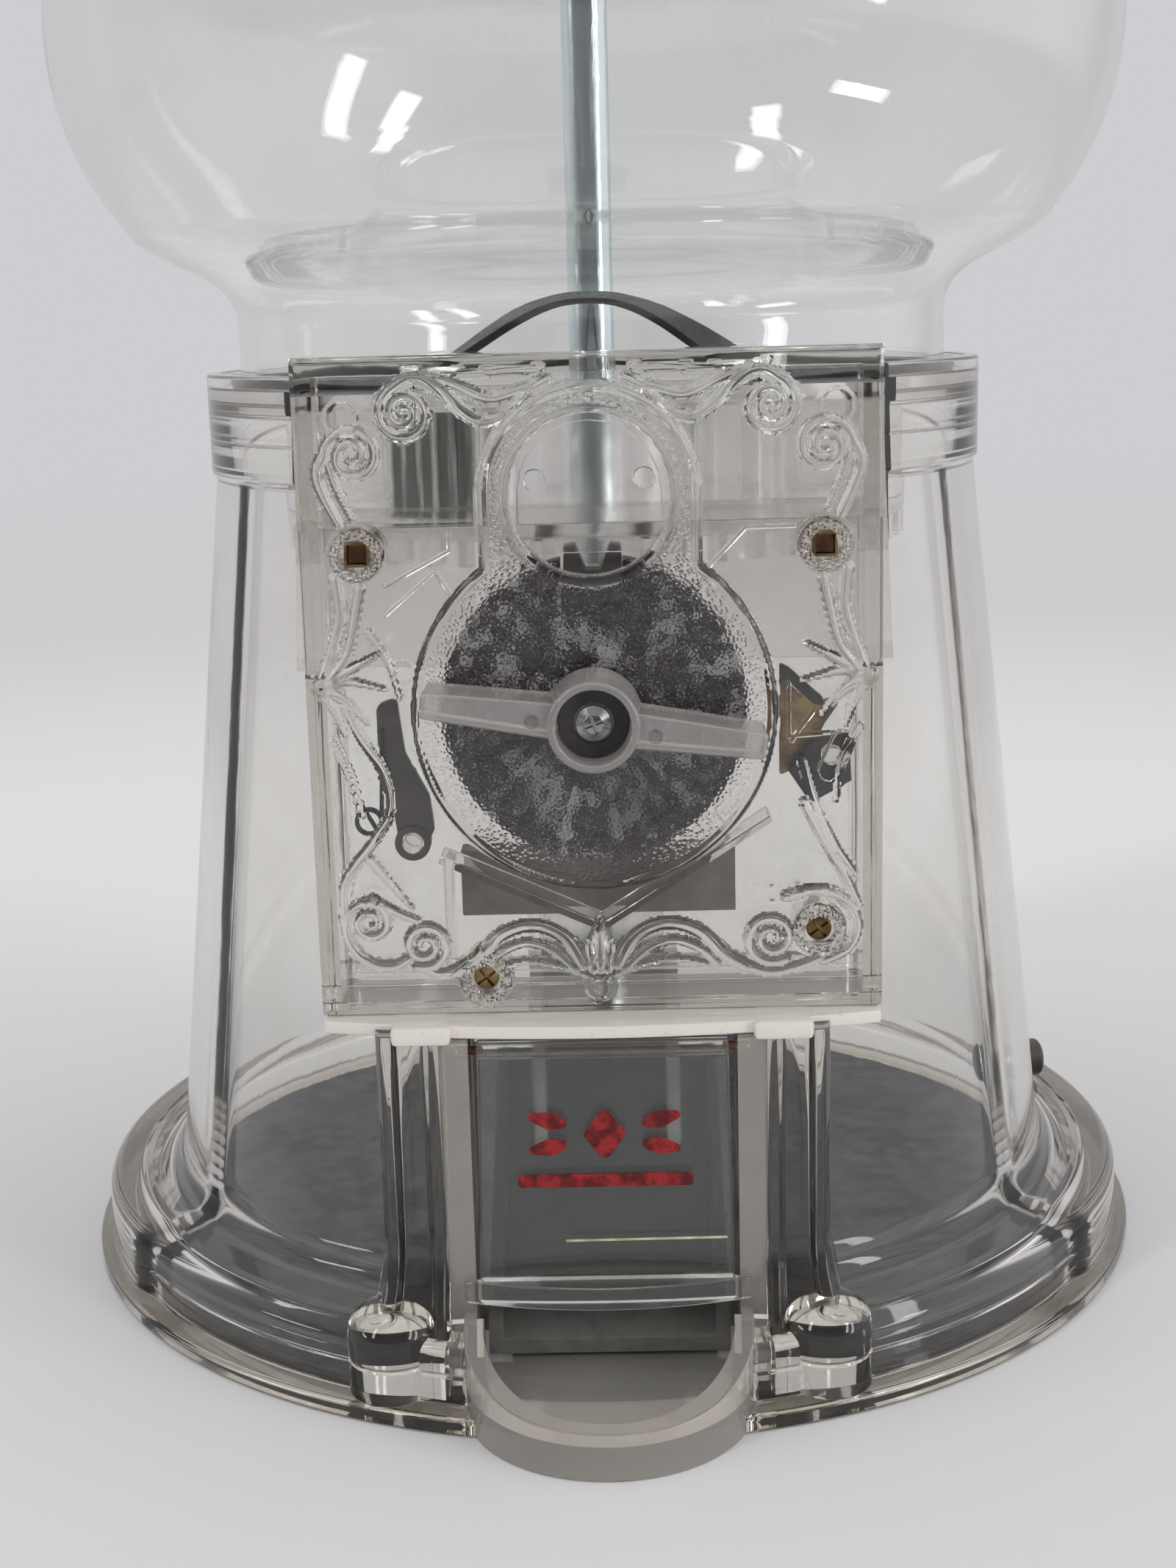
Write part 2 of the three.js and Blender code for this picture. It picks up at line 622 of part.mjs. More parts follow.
// A toothed ring under the dispensing wheel's rim meets the drive gear.
function crownGear() {
  const tooth = { width: 2.4, length: 5.2, height: 5.2, below: 2.3 };
  const rootZ = AXLE_Z + PINION.pitchR + TOOTH_DEPTH + 0.5;
  const inner = DISPENSER.r - 5.6;
  const top = DISPENSER.bottom - GAP;
  const teeth = [];
  for (let i = 0; i < CROWN_TEETH; i += 1) {
    const geometry = new THREE.BoxGeometry(tooth.width, tooth.length, tooth.height);
    geometry.translate(0, -CROWN_R, rootZ - tooth.below);
    geometry.rotateZ(2 * Math.PI * i / CROWN_TEETH);
    teeth.push(solid(geometry));
  }
  const ring = turned([[inner, rootZ], [DISPENSER.r, rootZ], [DISPENSER.r, top], [inner, top], [inner, rootZ]]);
  return joined(ring, ...teeth);
}

place('crown_gear', crownGear(), opaque(0xb9bcbc, 0.3));

// A shaft drops a gumball on to a sloping ramp that leads to the door.
const CHUTE = { wall: 2.6, halfShaft: 12, halfRamp: 20, back: -28.2, front: -51.8, top: 155.1, backZ: 47.2 };
const RAMP = { slope: 0.603, front: -91.6, rear: -22.2, rail: 4, thick: 3, foot: 2.8 };

function rampZ(y) {
  return CHUTE.backZ + RAMP.slope * (y - CHUTE.back);
}

function gumballChute() {
  const { wall, halfShaft, back, front, top } = CHUTE;
  const mouthTop = 54;
  const outer = [back + wall, front - wall].map((y) => [y, rampZ(y) + GAP]);
  const inner = [
    [back, top + 5], [back, 20], [front - 10, 20], [front - 10, mouthTop], [front, mouthTop], [front, top + 5],
  ];
  const shaft = slabX([[back + wall, top], ...outer, [front - wall, top]], -halfShaft - wall, halfShaft + wall);
  return cut(shaft, slabX(inner, -halfShaft, halfShaft));
}

function chuteRamp() {
  const { wall, halfRamp } = CHUTE;
  const { front, rear, rail, thick, foot } = RAMP;
  const underside = rear - wall;
  const outer = [
    [rear, foot], [rear, rampZ(rear) + rail], [front, rampZ(front) + rail], [front, rampZ(front) - thick],
    [underside, rampZ(underside) - thick], [underside, foot],
  ];
  const channel = [[0, rampZ(0)], [0, 90], [-100, 60], [-100, rampZ(-100)]];
  return cut(slabX(outer, -halfRamp - wall, halfRamp + wall), slabX(channel, -halfRamp, halfRamp));
}

place('chute_ramp', chuteRamp(), charcoal());
place('gumball_chute', gumballChute(), clearPlastic());

// ---------------------------------------------------------------- chute door

function chuteDoor() {
  const { halfTop, halfBottom, bottom, hingeY, hingeZ, barrelR } = DOOR;
  const panel = slabY([[-halfBottom, bottom], [halfBottom, bottom], [halfTop, hingeZ], [-halfTop, hingeZ]],
    hingeY - 1.2, hingeY + 1.2);
  const barrel = cylinderX(barrelR, -halfTop, halfTop, hingeY, hingeZ);
  const lip = [[-26.3, -96.8], [-23.2, -96.8], [-23.2, -95.2], [23.2, -95.2], [23.2, -96.8], [26.3, -96.8],
    [26.3, -98]];
  for (let x = 22; x >= -22; x -= 5.5) {
    lip.push([x, -102.2 + 4.2 * (x / 26.3) ** 2]);
  }
  lip.push([-26.3, -98]);
  const bore = cylinderX(1.05, -30, 30, hingeY, hingeZ, 10);
  return cut(joined(panel, barrel, slabZ(lip, 19.4, 23.8)), bore);
}

place('chute_door', chuteDoor(), clearPlastic());
place('door_pin', cylinderX(0.8, -26, 26, DOOR.hingeY, DOOR.hingeZ, 8), rustySteel());

// ---------------------------------------------------------------- rod, globe and gasket

place('centre_rod', cylinderZ(ROD_R, PLATE.top + GAP, 368, 0, 0, 20), zincSteel());

function hexNut(z0, z1) {
  return cut(cylinderZ(8.25, z0, z1, 0, 0, 6), cylinderZ(ROD_R + GAP, z0 - 1, z1 + 1));
}

place('rod_washer', cut(cylinderZ(11, 8.3, 9.6), cylinderZ(ROD_R + GAP, 8, 10)), zincSteel());
place('rod_nut', hexNut(9.9, 17.9), zincSteel());

function globeProfile(inset) {
  const { r, z, lower, upper, power } = GLOBE;
  const curve = (angle) => {
    const c = Math.cos(angle) ** (2 / power);
    const s = Math.abs(Math.sin(angle)) ** (2 / power);
    const height = angle < 0 ? -(lower - inset) * s : (upper - inset) * s;
    return [(r - inset) * c, z + height];
  };
  const bowl = [];
  for (let i = -4; i <= 6; i += 1) {
    bowl.push(curve(i * 8 * DEGREE));
  }
  const neck = [[0, NECK.bottom], [0, NECK.top], [1.2, NECK.top + 3], [4, NECK.top + 6], [9, NECK.top + 9.4]];
  const mouth = [[2.6, MOUTH.z - 13.4], [0.5, MOUTH.z - 9.6], [0, MOUTH.z]];
  return [
    ...neck.map(([out, height]) => [NECK.r + out - inset, height]),
    ...bowl,
    ...mouth.map(([out, height]) => [MOUTH.r + out - inset, height]),
  ];
}

function globe() {
  const outside = globeProfile(0);
  const inside = globeProfile(GLOBE.glass).reverse();
  return turned([...outside, ...inside, outside[0]], GLASS_ROUND);
}

place('globe', globe(), clearPlastic());

// The gasket is a flat rubber strip. It lies under the globe's neck except at the front,
// where it has slipped inside and stands up as an arch.
function gasket() {
  const points = [];
  const steps = 44;
  for (let i = 0; i <= steps; i += 1) {
    const angle = (1.5 + 357 * i / steps) * DEGREE;
    const fromFront = Math.abs(Math.PI - angle);
    const inward = THREE.MathUtils.smoothstep(1.15 - fromFront, 0, 0.4);
    const lift = THREE.MathUtils.smoothstep(0.62 - fromFront, 0, 0.6);
    const r = 71.8 - 9.6 * inward - 3 * lift;
    points.push(new THREE.Vector3(r * Math.sin(angle), r * Math.cos(angle), SEAT_Z + 1.05 + 15.6 * lift));
  }
  const section = outline([[-0.7, -3.6], [0.7, -3.6], [0.7, 3.6], [-0.7, 3.6]]);
  const extrudePath = new THREE.CatmullRomCurve3(points);
  return solid(new THREE.ExtrudeGeometry(section, { extrudePath, steps: 66, bevelEnabled: false }));
}

place('globe_gasket', gasket(), blackRubber());

// ---------------------------------------------------------------- lid and knob

function lid() {
  const { r, seat, dome } = LID;
  const bore = ROD_R + GAP;
  const plugR = MOUTH.r - GLOBE.glass - 0.6;
  const outside = [
    [r, seat], [r, seat + 2.6], [r - 3, seat + 3.2], [60, 338.6], [46, 343.8], [30, 347.4], [14, 349.6],
    [14, dome + 2], [bore, dome + 2],
  ];
  const inside = [
    [bore, 346.6], [14, 346.6], [30, 344.4], [46, 340.8], [58.4, 335.8], [59.4, 333.2], [59.4, 325.4],
    [plugR, 325.4], [plugR, seat],
  ];
  return turned([...outside, ...inside, outside[0]], GLASS_ROUND);
}

place('lid', lid(), clearPlastic());

function lidKnob() {
  const { r, bottom, top } = KNOB;
  const body = turned([[0, bottom], [r - 2, bottom], [r, bottom + 2], [r, top - 3], [r - 3, top], [0, top]], 24);
  return cut(body, cylinderZ(ROD_R + GAP, bottom - 1, 369));
}

place('lid_knob', lidKnob(), zincSteel());

export default machine;
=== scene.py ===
"""Looks of a clear plastic gumball machine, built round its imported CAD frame.

Shapes are written in millimetres in the CAD frame: +Z up, the front panel towards -Y.
"""
import math

import bmesh
import bpy
import numpy as np
from mathutils import Matrix, Vector


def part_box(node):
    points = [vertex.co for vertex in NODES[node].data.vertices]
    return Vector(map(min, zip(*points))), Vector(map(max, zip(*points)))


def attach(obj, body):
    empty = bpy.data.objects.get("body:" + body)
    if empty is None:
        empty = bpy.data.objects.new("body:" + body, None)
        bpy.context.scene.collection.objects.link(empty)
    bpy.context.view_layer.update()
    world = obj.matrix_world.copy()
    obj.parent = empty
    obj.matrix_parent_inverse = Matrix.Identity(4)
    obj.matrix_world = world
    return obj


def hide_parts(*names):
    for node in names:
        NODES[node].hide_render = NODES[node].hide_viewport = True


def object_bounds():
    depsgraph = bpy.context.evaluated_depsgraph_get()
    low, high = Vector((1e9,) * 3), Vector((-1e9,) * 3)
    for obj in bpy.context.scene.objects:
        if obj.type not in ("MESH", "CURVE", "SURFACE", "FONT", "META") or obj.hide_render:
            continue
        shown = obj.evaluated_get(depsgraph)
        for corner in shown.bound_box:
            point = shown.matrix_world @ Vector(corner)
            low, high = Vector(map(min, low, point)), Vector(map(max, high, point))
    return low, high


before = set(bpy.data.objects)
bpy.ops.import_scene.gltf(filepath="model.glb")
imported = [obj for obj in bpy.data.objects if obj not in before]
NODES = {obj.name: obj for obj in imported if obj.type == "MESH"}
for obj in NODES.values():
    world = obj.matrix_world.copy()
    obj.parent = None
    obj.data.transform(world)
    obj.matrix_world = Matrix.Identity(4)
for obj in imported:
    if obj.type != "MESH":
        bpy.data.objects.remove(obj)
CAD_LOW, CAD_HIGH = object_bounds()

MM = 0.001
SCENE = bpy.context.scene


def box_mm(node):
    low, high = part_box(node)
    return low / MM, high / MM


# ---------------------------------------------------------------- mesh tools

def build(name, verts, faces):
    """A mesh object from points in millimetres, with its faces turned outward."""
    mesh = bpy.data.meshes.new(name)
    mesh.from_pydata((np.asarray(verts, float) * MM).tolist(), [], [tuple(int(i) for i in f) for f in faces])
    bm = bmesh.new()
    bm.from_mesh(mesh)
    bmesh.ops.recalc_face_normals(bm, faces=bm.faces)
    if bm.calc_volume(signed=True) < 0:
        bmesh.ops.reverse_faces(bm, faces=bm.faces)
    bm.to_mesh(mesh)
    bm.free()
    obj = bpy.data.objects.new(name, mesh)
    SCENE.collection.objects.link(obj)
    return obj


def bake(obj):
    """Replaces an object's mesh by what its modifiers make of it."""
    made = bpy.data.meshes.new_from_object(obj.evaluated_get(bpy.context.evaluated_depsgraph_get()))
    old = obj.data
    obj.modifiers.clear()
    obj.data = made
    bpy.data.meshes.remove(old)
    return obj


def bevelled(obj, width, segments=2, angle=35):
    if width > 0:
        mod = obj.modifiers.new("edge", "BEVEL")
        mod.width = width * MM
        mod.segments = segments
        mod.limit_method = "ANGLE"
        mod.angle_limit = math.radians(angle)
        mod.miter_outer = "MITER_ARC"
        bake(obj)
    return obj


def combine(obj, tools, operation):
    for tool in tools:
        mod = obj.modifiers.new("combine", "BOOLEAN")
        mod.operation = operation
        mod.solver = "MANIFOLD"
        mod.object = tool
    bake(obj)
    for tool in tools:
        bpy.data.objects.remove(tool)
    return obj


def union(obj, *tools):
    return combine(obj, tools, "UNION")


def cut(obj, *tools):
    return combine(obj, tools, "DIFFERENCE")


def fillet(points, steps=5, closed=True):
    """Rounds a polyline's corners: each point is (u, v) or (u, v, radius)."""
    made = []
    count = len(points)
    for i, point in enumerate(points):
        radius = point[2] if len(point) > 2 else 0
        corner = Vector(point[:2])
        if radius <= 0 or (not closed and i in (0, count - 1)):
            made.append(tuple(corner))
            continue
        before = Vector(points[i - 1][:2]) - corner
        after = Vector(points[(i + 1) % count][:2]) - corner
        room = 0.49 * min(before.length, after.length)
        before.normalize()
        after.normalize()
        half = before.angle(after) / 2
        reach = min(radius / math.tan(half), room)
        centre = corner + (before + after).normalized() * (reach / math.cos(half))
        start = corner + before * reach - centre
        end = corner + after * reach - centre
        sweep = math.pi - 2 * half
        for k in range(steps + 1):
            f = k / steps
            turn = (start * math.sin((1 - f) * sweep) + end * math.sin(f * sweep)) / math.sin(sweep)
            made.append(tuple(centre + turn))
    return made


def step(value, low, high):
    t = np.clip((value - low) / (high - low), 0, 1)
    return t * t * (3 - 2 * t)


def walls(n, count):
    """Faces between each of count rings of n points and the next."""
    return [(i + k, i + (k + 1) % n, i + n + (k + 1) % n, i + n + k) for i in range(0, (count - 1) * n, n)
            for k in range(n)]


def ends(n, count):
    """Faces over the first and the last ring."""
    return [list(range(n)), list(range((count - 1) * n, count * n))]


def on_axis(axis, u, v, along):
    return {"X": (along, u, v), "Y": (u, along, v), "Z": (u, v, along)}[axis]


def prism(name, outline, axis, low, high, edge=0.0, segments=2):
    """An outline drawn in the two other axes, from low to high along this one."""
    verts = [on_axis(axis, u, v, t) for t in (low, high) for u, v in outline]
    return bevelled(build(name, verts, ends(len(outline), 2) + walls(len(outline), 2)), edge, segments)


def block(name, x, y, z, edge=0.0):
    return prism(name, [(x[0], y[0]), (x[1], y[0]), (x[1], y[1]), (x[0], y[1])], "Z", z[0], z[1], edge)


def turned(name, loop, axis="Z", at=(0, 0), turns=96, front=None, share=None):
    """A closed (radius, along) loop turned about an axis through at; radius 0 is a pole.

    With front, the shape follows that loop as far as share(azimuth) says; azimuth 0 is towards -Y.
    """
    rings = []
    verts = []
    for i, (r, t) in enumerate(loop):
        if r < 1e-6:
            rings.append([len(verts)] * turns)
            verts.append(on_axis(axis, at[0], at[1], t))
            continue
        rings.append(list(range(len(verts), len(verts) + turns)))
        for k in range(turns):
            a = 2 * math.pi * k / turns
            size, along = r, t
            if front:
                part = share(math.atan2(math.cos(a), -math.sin(a)))
                size += (front[i][0] - r) * part
                along += (front[i][1] - t) * part
            verts.append(on_axis(axis, at[0] + size * math.cos(a), at[1] + size * math.sin(a), along))
    faces = []
    for i in range(len(rings)):
        a, b = rings[i], rings[(i + 1) % len(rings)]
        if a[0] == a[1] and b[0] == b[1]:
            continue
        for k in range(turns):
            n = (k + 1) % turns
            face = [a[k], a[n], b[n], b[k]]
            faces.append([v for j, v in enumerate(face) if v != face[j - 1]])
    return build(name, verts, faces)


def rod(name, r, axis, low, high, at=(0, 0), turns=48, edge=0.0):
    edge = min(edge, r * 0.45)
    loop = [(0, low), (r, low, edge), (r, high, edge), (0, high)]
    return turned(name, fillet(loop, 3, closed=False), axis, at, turns)


def circle(r, count):
    """Points evenly round the origin."""
    return [(r * math.cos(2 * math.pi * k / count), r * math.sin(2 * math.pi * k / count)) for k in range(count)]


def tube(name, path, radius, sides=10):
    """A round wire along points in millimetres."""
    return swept(name, path, circle(radius, sides))


def swept(name, path, section, ups=None):
    """A section (sideways, up) carried along a path; ups gives each point's up direction."""
    path = [Vector(p) for p in path]
    count = len(path)
    verts = []
    up = Vector((0, 0, 1))
    for i, p in enumerate(path):
        ahead = (path[min(i + 1, count - 1)] - path[max(i - 1, 0)]).normalized()
        if ups:
            up = Vector(ups[i])
        elif abs(ahead.dot(up)) > 0.9:
            up = Vector((0, 1, 0)) if abs(ahead.y) < 0.9 else Vector((1, 0, 0))
        side = ahead.cross(up).normalized()
        up = side.cross(ahead).normalized()
        verts += [tuple(p + side * a + up * b) for a, b in section]
    return build(name, verts, walls(len(section), count) + ends(len(section), count))


def curve_through(points, per_span=8):
    """Catmull-Rom points through a list of points."""
    p = np.asarray(points, float)
    p = np.vstack([2 * p[0] - p[1], p, 2 * p[-1] - p[-2]])
    made = []
    for i in range(1, len(p) - 2):
        for k in range(per_span):
            t = k / per_span
            made.append(0.5 * (2 * p[i] + (p[i + 1] - p[i - 1]) * t
                               + (2 * p[i - 1] - 5 * p[i] + 4 * p[i + 1] - p[i + 2]) * t * t
                               + (3 * p[i] - p[i - 1] - 3 * p[i + 1] + p[i + 2]) * t ** 3))
    made.append(p[-2])
    return np.array(made)


def inset(profile, distance):
    """A (radius, along) line moved sideways towards its axis by a distance."""
    line = np.asarray(profile, float)
    ahead = np.gradient(line, axis=0)
    ahead /= np.linalg.norm(ahead, axis=1)[:, None]
    return [tuple(p) for p in line + distance * np.column_stack([-ahead[:, 1], ahead[:, 0]])]


def smoothed(obj, angle=32):
    """Smooth shading with crisp edges and flat faces that stay flat."""
    obj.data.shade_smooth()
    obj.data.set_sharp_from_angle(angle=math.radians(angle))
    obj.modifiers.new("normals", "WEIGHTED_NORMAL").keep_sharp = True
    return obj


def piece(obj, material, body, replaces=(), angle=32):
    """Finishes a new piece: shading, material, the body it rides on and what it stands for."""
    smoothed(obj, angle)
    obj.data.materials.clear()
    obj.data.materials.append(material)
    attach(obj, body)
    if replaces:
        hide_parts(*replaces)
    return obj


def kept(node, material):
    """A CAD node that stays: a better material and softened edges."""
    obj = NODES[node]
    obj.data.materials.clear()
    obj.data.materials.append(material)
    for poly in obj.data.polygons:
        poly.use_smooth = True
    weld = obj.modifiers.new("weld", "WELD")
    weld.merge_threshold = 1e-5
    edge = obj.modifiers.new("edge", "BEVEL")
    edge.width = 0.2 * MM
    edge.segments = 2
    edge.limit_method = "ANGLE"
    edge.angle_limit = math.radians(40)
    obj.modifiers.new("normals", "WEIGHTED_NORMAL").keep_sharp = True


# ---------------------------------------------------------------- material tools

class Mat:
    """A node material, built node by node."""

    def __init__(self, name, tree=None):
        if tree is None:
            self.material = bpy.data.materials.new(name)
            self.material.use_nodes = True
            tree = self.material.node_tree
        self.tree = tree
        tree.nodes.clear()

    def add(self, kind, values=None, **props):
        node = self.tree.nodes.new("ShaderNode" + kind)
        for key, value in props.items():
            setattr(node, key, value)
        for key, value in (values or {}).items():
            if isinstance(value, bpy.types.NodeSocket):
                self.tree.links.new(value, node.inputs[key])
            else:
                node.inputs[key].default_value = value
        return node

    def place(self):
        return self.add("TexCoord").outputs["Object"]

    def stretched(self, scale):
        return self.add("Mapping", {"Vector": self.place(), "Scale": scale}).outputs[0]

    def noise(self, scale, detail=3.0, vector=None, rough=0.5, distortion=0.0):
        values = {"Vector": vector or self.place(), "Scale": scale, "Detail": detail,
                  "Roughness": rough, "Distortion": distortion}
        return self.add("TexNoise", values).outputs["Fac"]

    def cells(self, scale):
        return self.add("TexVoronoi", {"Vector": self.place(), "Scale": scale}).outputs["Distance"]

    def math(self, operation, a, b=0.0, c=0.0, clamp=False):
        return self.add("Math", {0: a, 1: b, 2: c}, operation=operation, use_clamp=clamp).outputs[0]

    def plus(self, a, b):
        return self.math("ADD", a, b)

    def product(self, first, *others, clamp=False):
        for other in others:
            first = self.math("MULTIPLY", first, other, clamp=clamp)
        return first

    def distance(self, a, b):
        return self.math("SQRT", self.plus(self.product(a, a), self.product(b, b)))

    def between(self, value, low, high, to_low=0.0, to_high=1.0):
        """A smooth step from to_low to to_high as value goes from low to high."""
        values = {"Value": value, "From Min": low, "From Max": high, "To Min": to_low, "To Max": to_high}
        return self.add("MapRange", values, interpolation_type="SMOOTHSTEP").outputs["Result"]

    def below(self, value, low, high):
        """1 under low, 0 over high."""
        return self.between(value, low, high, 1.0, 0.0)

    def mix(self, factor, a, b):
        return self.add("Mix", {0: factor, 6: a, 7: b}, data_type="RGBA").outputs[2]

    def bump(self, height, strength, distance_mm):
        return self.add("Bump", {"Height": height, "Strength": strength, "Distance": distance_mm * MM}).outputs[0]

    def finish(self, surface, volume=None):
        links = {"Surface": surface}
        if volume is not None:
            links["Volume"] = volume
        self.add("OutputMaterial", links)
        return self.material


def clear(name, tint, soiled, roughness, ior=1.49, bump=0.35, absorb=None, density=0.0, grain=None,
          transmission=1.0, extra=None):
    """Clear moulded plastic or glass: a faint tint, thin grime, fine scratches and ripples."""
    m = Mat(name)
    cloud = m.between(m.noise(38, 4), 0.45, 0.75)
    specks = m.between(m.noise(900, 2), 0.66, 0.72)
    grime = m.math("MAXIMUM", m.product(cloud, 0.55), specks, clamp=True)
    colour = m.mix(grime, tint, soiled)
    if extra:
        colour = extra(m, colour)
    ripple = m.noise(55, 2)
    scratch = m.between(m.noise(260, 2, m.stretched((1.0, 1.0, 0.06)), distortion=0.6), 0.60, 0.66)
    height = m.plus(ripple, m.product(scratch, 0.04))
    if grain is not None:
        height = m.plus(height, grain(m))
    values = {"Base Color": colour, "Roughness": roughness, "IOR": ior, "Transmission Weight": transmission,
              "Normal": m.bump(height, bump, 0.3)}
    volume = None
    if absorb:
        volume = m.add("VolumeAbsorption", {"Color": absorb, "Density": density}).outputs[0]
    return m.finish(m.add("BsdfPrincipled", values).outputs[0], volume)


def opaque(name, dark, light, roughness, scale, metallic=0.0, bump=0.4, stretch=(1, 1, 1), depth=0.08,
           window=(0.35, 0.7)):
    """Plastic, metal or rubber: two tones mottled by noise, with uneven gloss and a fine grain."""
    m = Mat(name)
    vector = m.stretched(stretch)
    blotch = m.between(m.noise(scale, 5, vector, 0.6), *window)
    fine = m.noise(scale * 7, 3, vector)
    colour = m.mix(m.product(blotch, m.plus(fine, 0.5), clamp=True), dark, light)
    rough = m.between(fine, 0.3, 0.7, roughness * 0.8, min(1.0, roughness * 1.25))
    values = {"Base Color": colour, "Metallic": metallic, "Roughness": rough, "Normal": m.bump(fine, bump, depth)}
    return m.finish(m.add("BsdfPrincipled", values).outputs[0])


AXLE_Z = 127.7
AXLE = (0, AXLE_Z)
AXLE_BORE_R = 3.475
RING_Z = 165.7
RING = (0, RING_Z)
ROD_BORE_R = 5.06


def pebbles(m):
    """Raised grain on the keyhole plate, inside its rim and outside the coin ring's lip."""
    spot = m.add("SeparateXYZ", {"Vector": m.place()})
    x, y, z = spot.outputs

    def away(height):
        return m.distance(x, m.math("SUBTRACT", z, height * MM))

    disc = m.below(away(AXLE_Z), 0.0300, 0.0304)
    top = m.below(away(RING_Z), 0.0172, 0.0176)
    side = m.below(m.math("ABSOLUTE", x), 0.0172, 0.0176)
    shank = m.product(side, m.between(z, 0.150, 0.152), m.below(z, 0.164, 0.166))
    lip = m.between(away(RING_Z), 0.0154, 0.0158)
    front = m.below(y, -0.0905, -0.0900)
    area = m.math("MAXIMUM", m.math("MAXIMUM", disc, top), shank)
    area = m.product(area, lip, front)
    grain = m.below(m.cells(1350), 0.12, 0.62)
    loose = m.noise(420, 3)
    return m.product(area, m.plus(m.product(grain, 1.3), loose))


def soiled_foot(m, colour):
    """Beige dirt round the flange and where it meets the table."""
    z = m.add("SeparateXYZ", {"Vector": m.place()}).outputs[2]
    low = m.product(m.below(z, 0.0030, 0.0042), m.between(m.noise(140, 4), 0.25, 0.55, 0.6, 1.0))
    return m.mix(low, colour, (0.74, 0.69, 0.61, 1))


def dusty(m, colour):
    """A dense sprinkle of pale dust."""
    fine = m.between(m.noise(2600, 3), 0.44, 0.60)
    return m.mix(m.product(fine, 0.5), colour, (0.62, 0.61, 0.60, 1))


ACRYLIC_ABSORB = (0.77, 0.745, 0.70, 1)
PLASTIC = clear("clear_acrylic", (0.98, 0.975, 0.965, 1), (0.90, 0.885, 0.86, 1), 0.03, absorb=ACRYLIC_ABSORB,
                density=48, bump=0.10, extra=soiled_foot)
CAST = clear("cast_panel_acrylic", (0.97, 0.966, 0.957, 1), (0.88, 0.865, 0.84, 1), 0.03, absorb=ACRYLIC_ABSORB,
             density=62, bump=0.5, grain=pebbles)
INNER = clear("inner_acrylic", (0.94, 0.935, 0.925, 1), (0.84, 0.825, 0.80, 1), 0.08, bump=0.15)
SMOKE = clear("smoky_acrylic", (0.91, 0.895, 0.875, 1), (0.82, 0.805, 0.78, 1), 0.12, bump=0.15)
FROSTED = clear("frosted_acrylic", (0.82, 0.80, 0.785, 1), (0.62, 0.59, 0.58, 1), 0.15, absorb=ACRYLIC_ABSORB,
                density=90, bump=0.6, transmission=0.74)
GLASS = clear("blown_glass", (0.985, 0.99, 0.982, 1), (0.93, 0.935, 0.92, 1), 0.005, ior=1.5, bump=0.05,
              absorb=(0.79, 0.825, 0.775, 1), density=60)
DOOR_PLASTIC = clear("door_acrylic", (0.95, 0.945, 0.93, 1), (0.80, 0.79, 0.77, 1), 0.08, absorb=ACRYLIC_ABSORB,
                     density=50, bump=0.25, extra=dusty, transmission=0.965)
TRAY_HAZE = clear("hazy_tray_acrylic", (0.94, 0.90, 0.84, 1), (0.86, 0.82, 0.76, 1), 0.06, absorb=ACRYLIC_ABSORB,
                  density=40, bump=0.2, transmission=0.78)
LEDGE_HAZE = clear("dusty_ledge_acrylic", (0.90, 0.845, 0.78, 1), (0.76, 0.70, 0.63, 1), 0.15,
                   absorb=ACRYLIC_ABSORB, density=30, bump=0.2, transmission=0.1)
CHARCOAL = opaque("charcoal_base", (0.016, 0.017, 0.021, 1), (0.055, 0.056, 0.062, 1), 0.5, 30)
DARK = opaque("dark_plastic", (0.012, 0.010, 0.011, 1), (0.055, 0.047, 0.05, 1), 0.42, 60)
UMBER = opaque("umber_plastic", (0.040, 0.031, 0.027, 1), (0.10, 0.082, 0.072, 1), 0.42, 60)
BROWN = opaque("brown_plastic", (0.19, 0.150, 0.145, 1), (0.38, 0.325, 0.32, 1), 0.45, 40)
ZINC = opaque("zinc_steel", (0.56, 0.63, 0.66, 1), (0.86, 0.92, 0.95, 1), 0.16, 60, metallic=1.0,
              stretch=(1, 1, 0.03), window=(0.2, 0.8), bump=0.1, depth=0.02)
STEEL = opaque("bright_steel", (0.32, 0.32, 0.33, 1), (0.62, 0.62, 0.63, 1), 0.22, 150, metallic=1.0, depth=0.03)
SPRING = opaque("spring_steel", (0.010, 0.010, 0.011, 1), (0.05, 0.05, 0.052, 1), 0.3, 200, metallic=0.6)
BRASS = opaque("brass", (0.16, 0.095, 0.04, 1), (0.50, 0.35, 0.16, 1), 0.34, 160, metallic=0.85)
RUBBER = opaque("black_rubber", (0.006, 0.006, 0.007, 1), (0.035, 0.035, 0.038, 1), 0.34, 90)
RUST = opaque("rusty_steel", (0.05, 0.022, 0.012, 1), (0.24, 0.13, 0.07, 1), 0.65, 220, metallic=0.3)
RED = opaque("red_foil", (0.10, 0.004, 0.006, 1), (0.36, 0.018, 0.020, 1), 0.30, 240, metallic=0.35,
             window=(0.4, 0.6))
STRAW = opaque("straw_scratch", (0.42, 0.40, 0.20, 1), (0.75, 0.73, 0.50, 1), 0.5, 300)


def shaded_foot(m, colour):
    """The shaft darkens towards the charcoal ramp under it."""
    z = m.add("SeparateXYZ", {"Vector": m.place()}).outputs[2]
    return m.mix(m.below(z, 0.066, 0.072), colour, (0.05, 0.05, 0.055, 1))


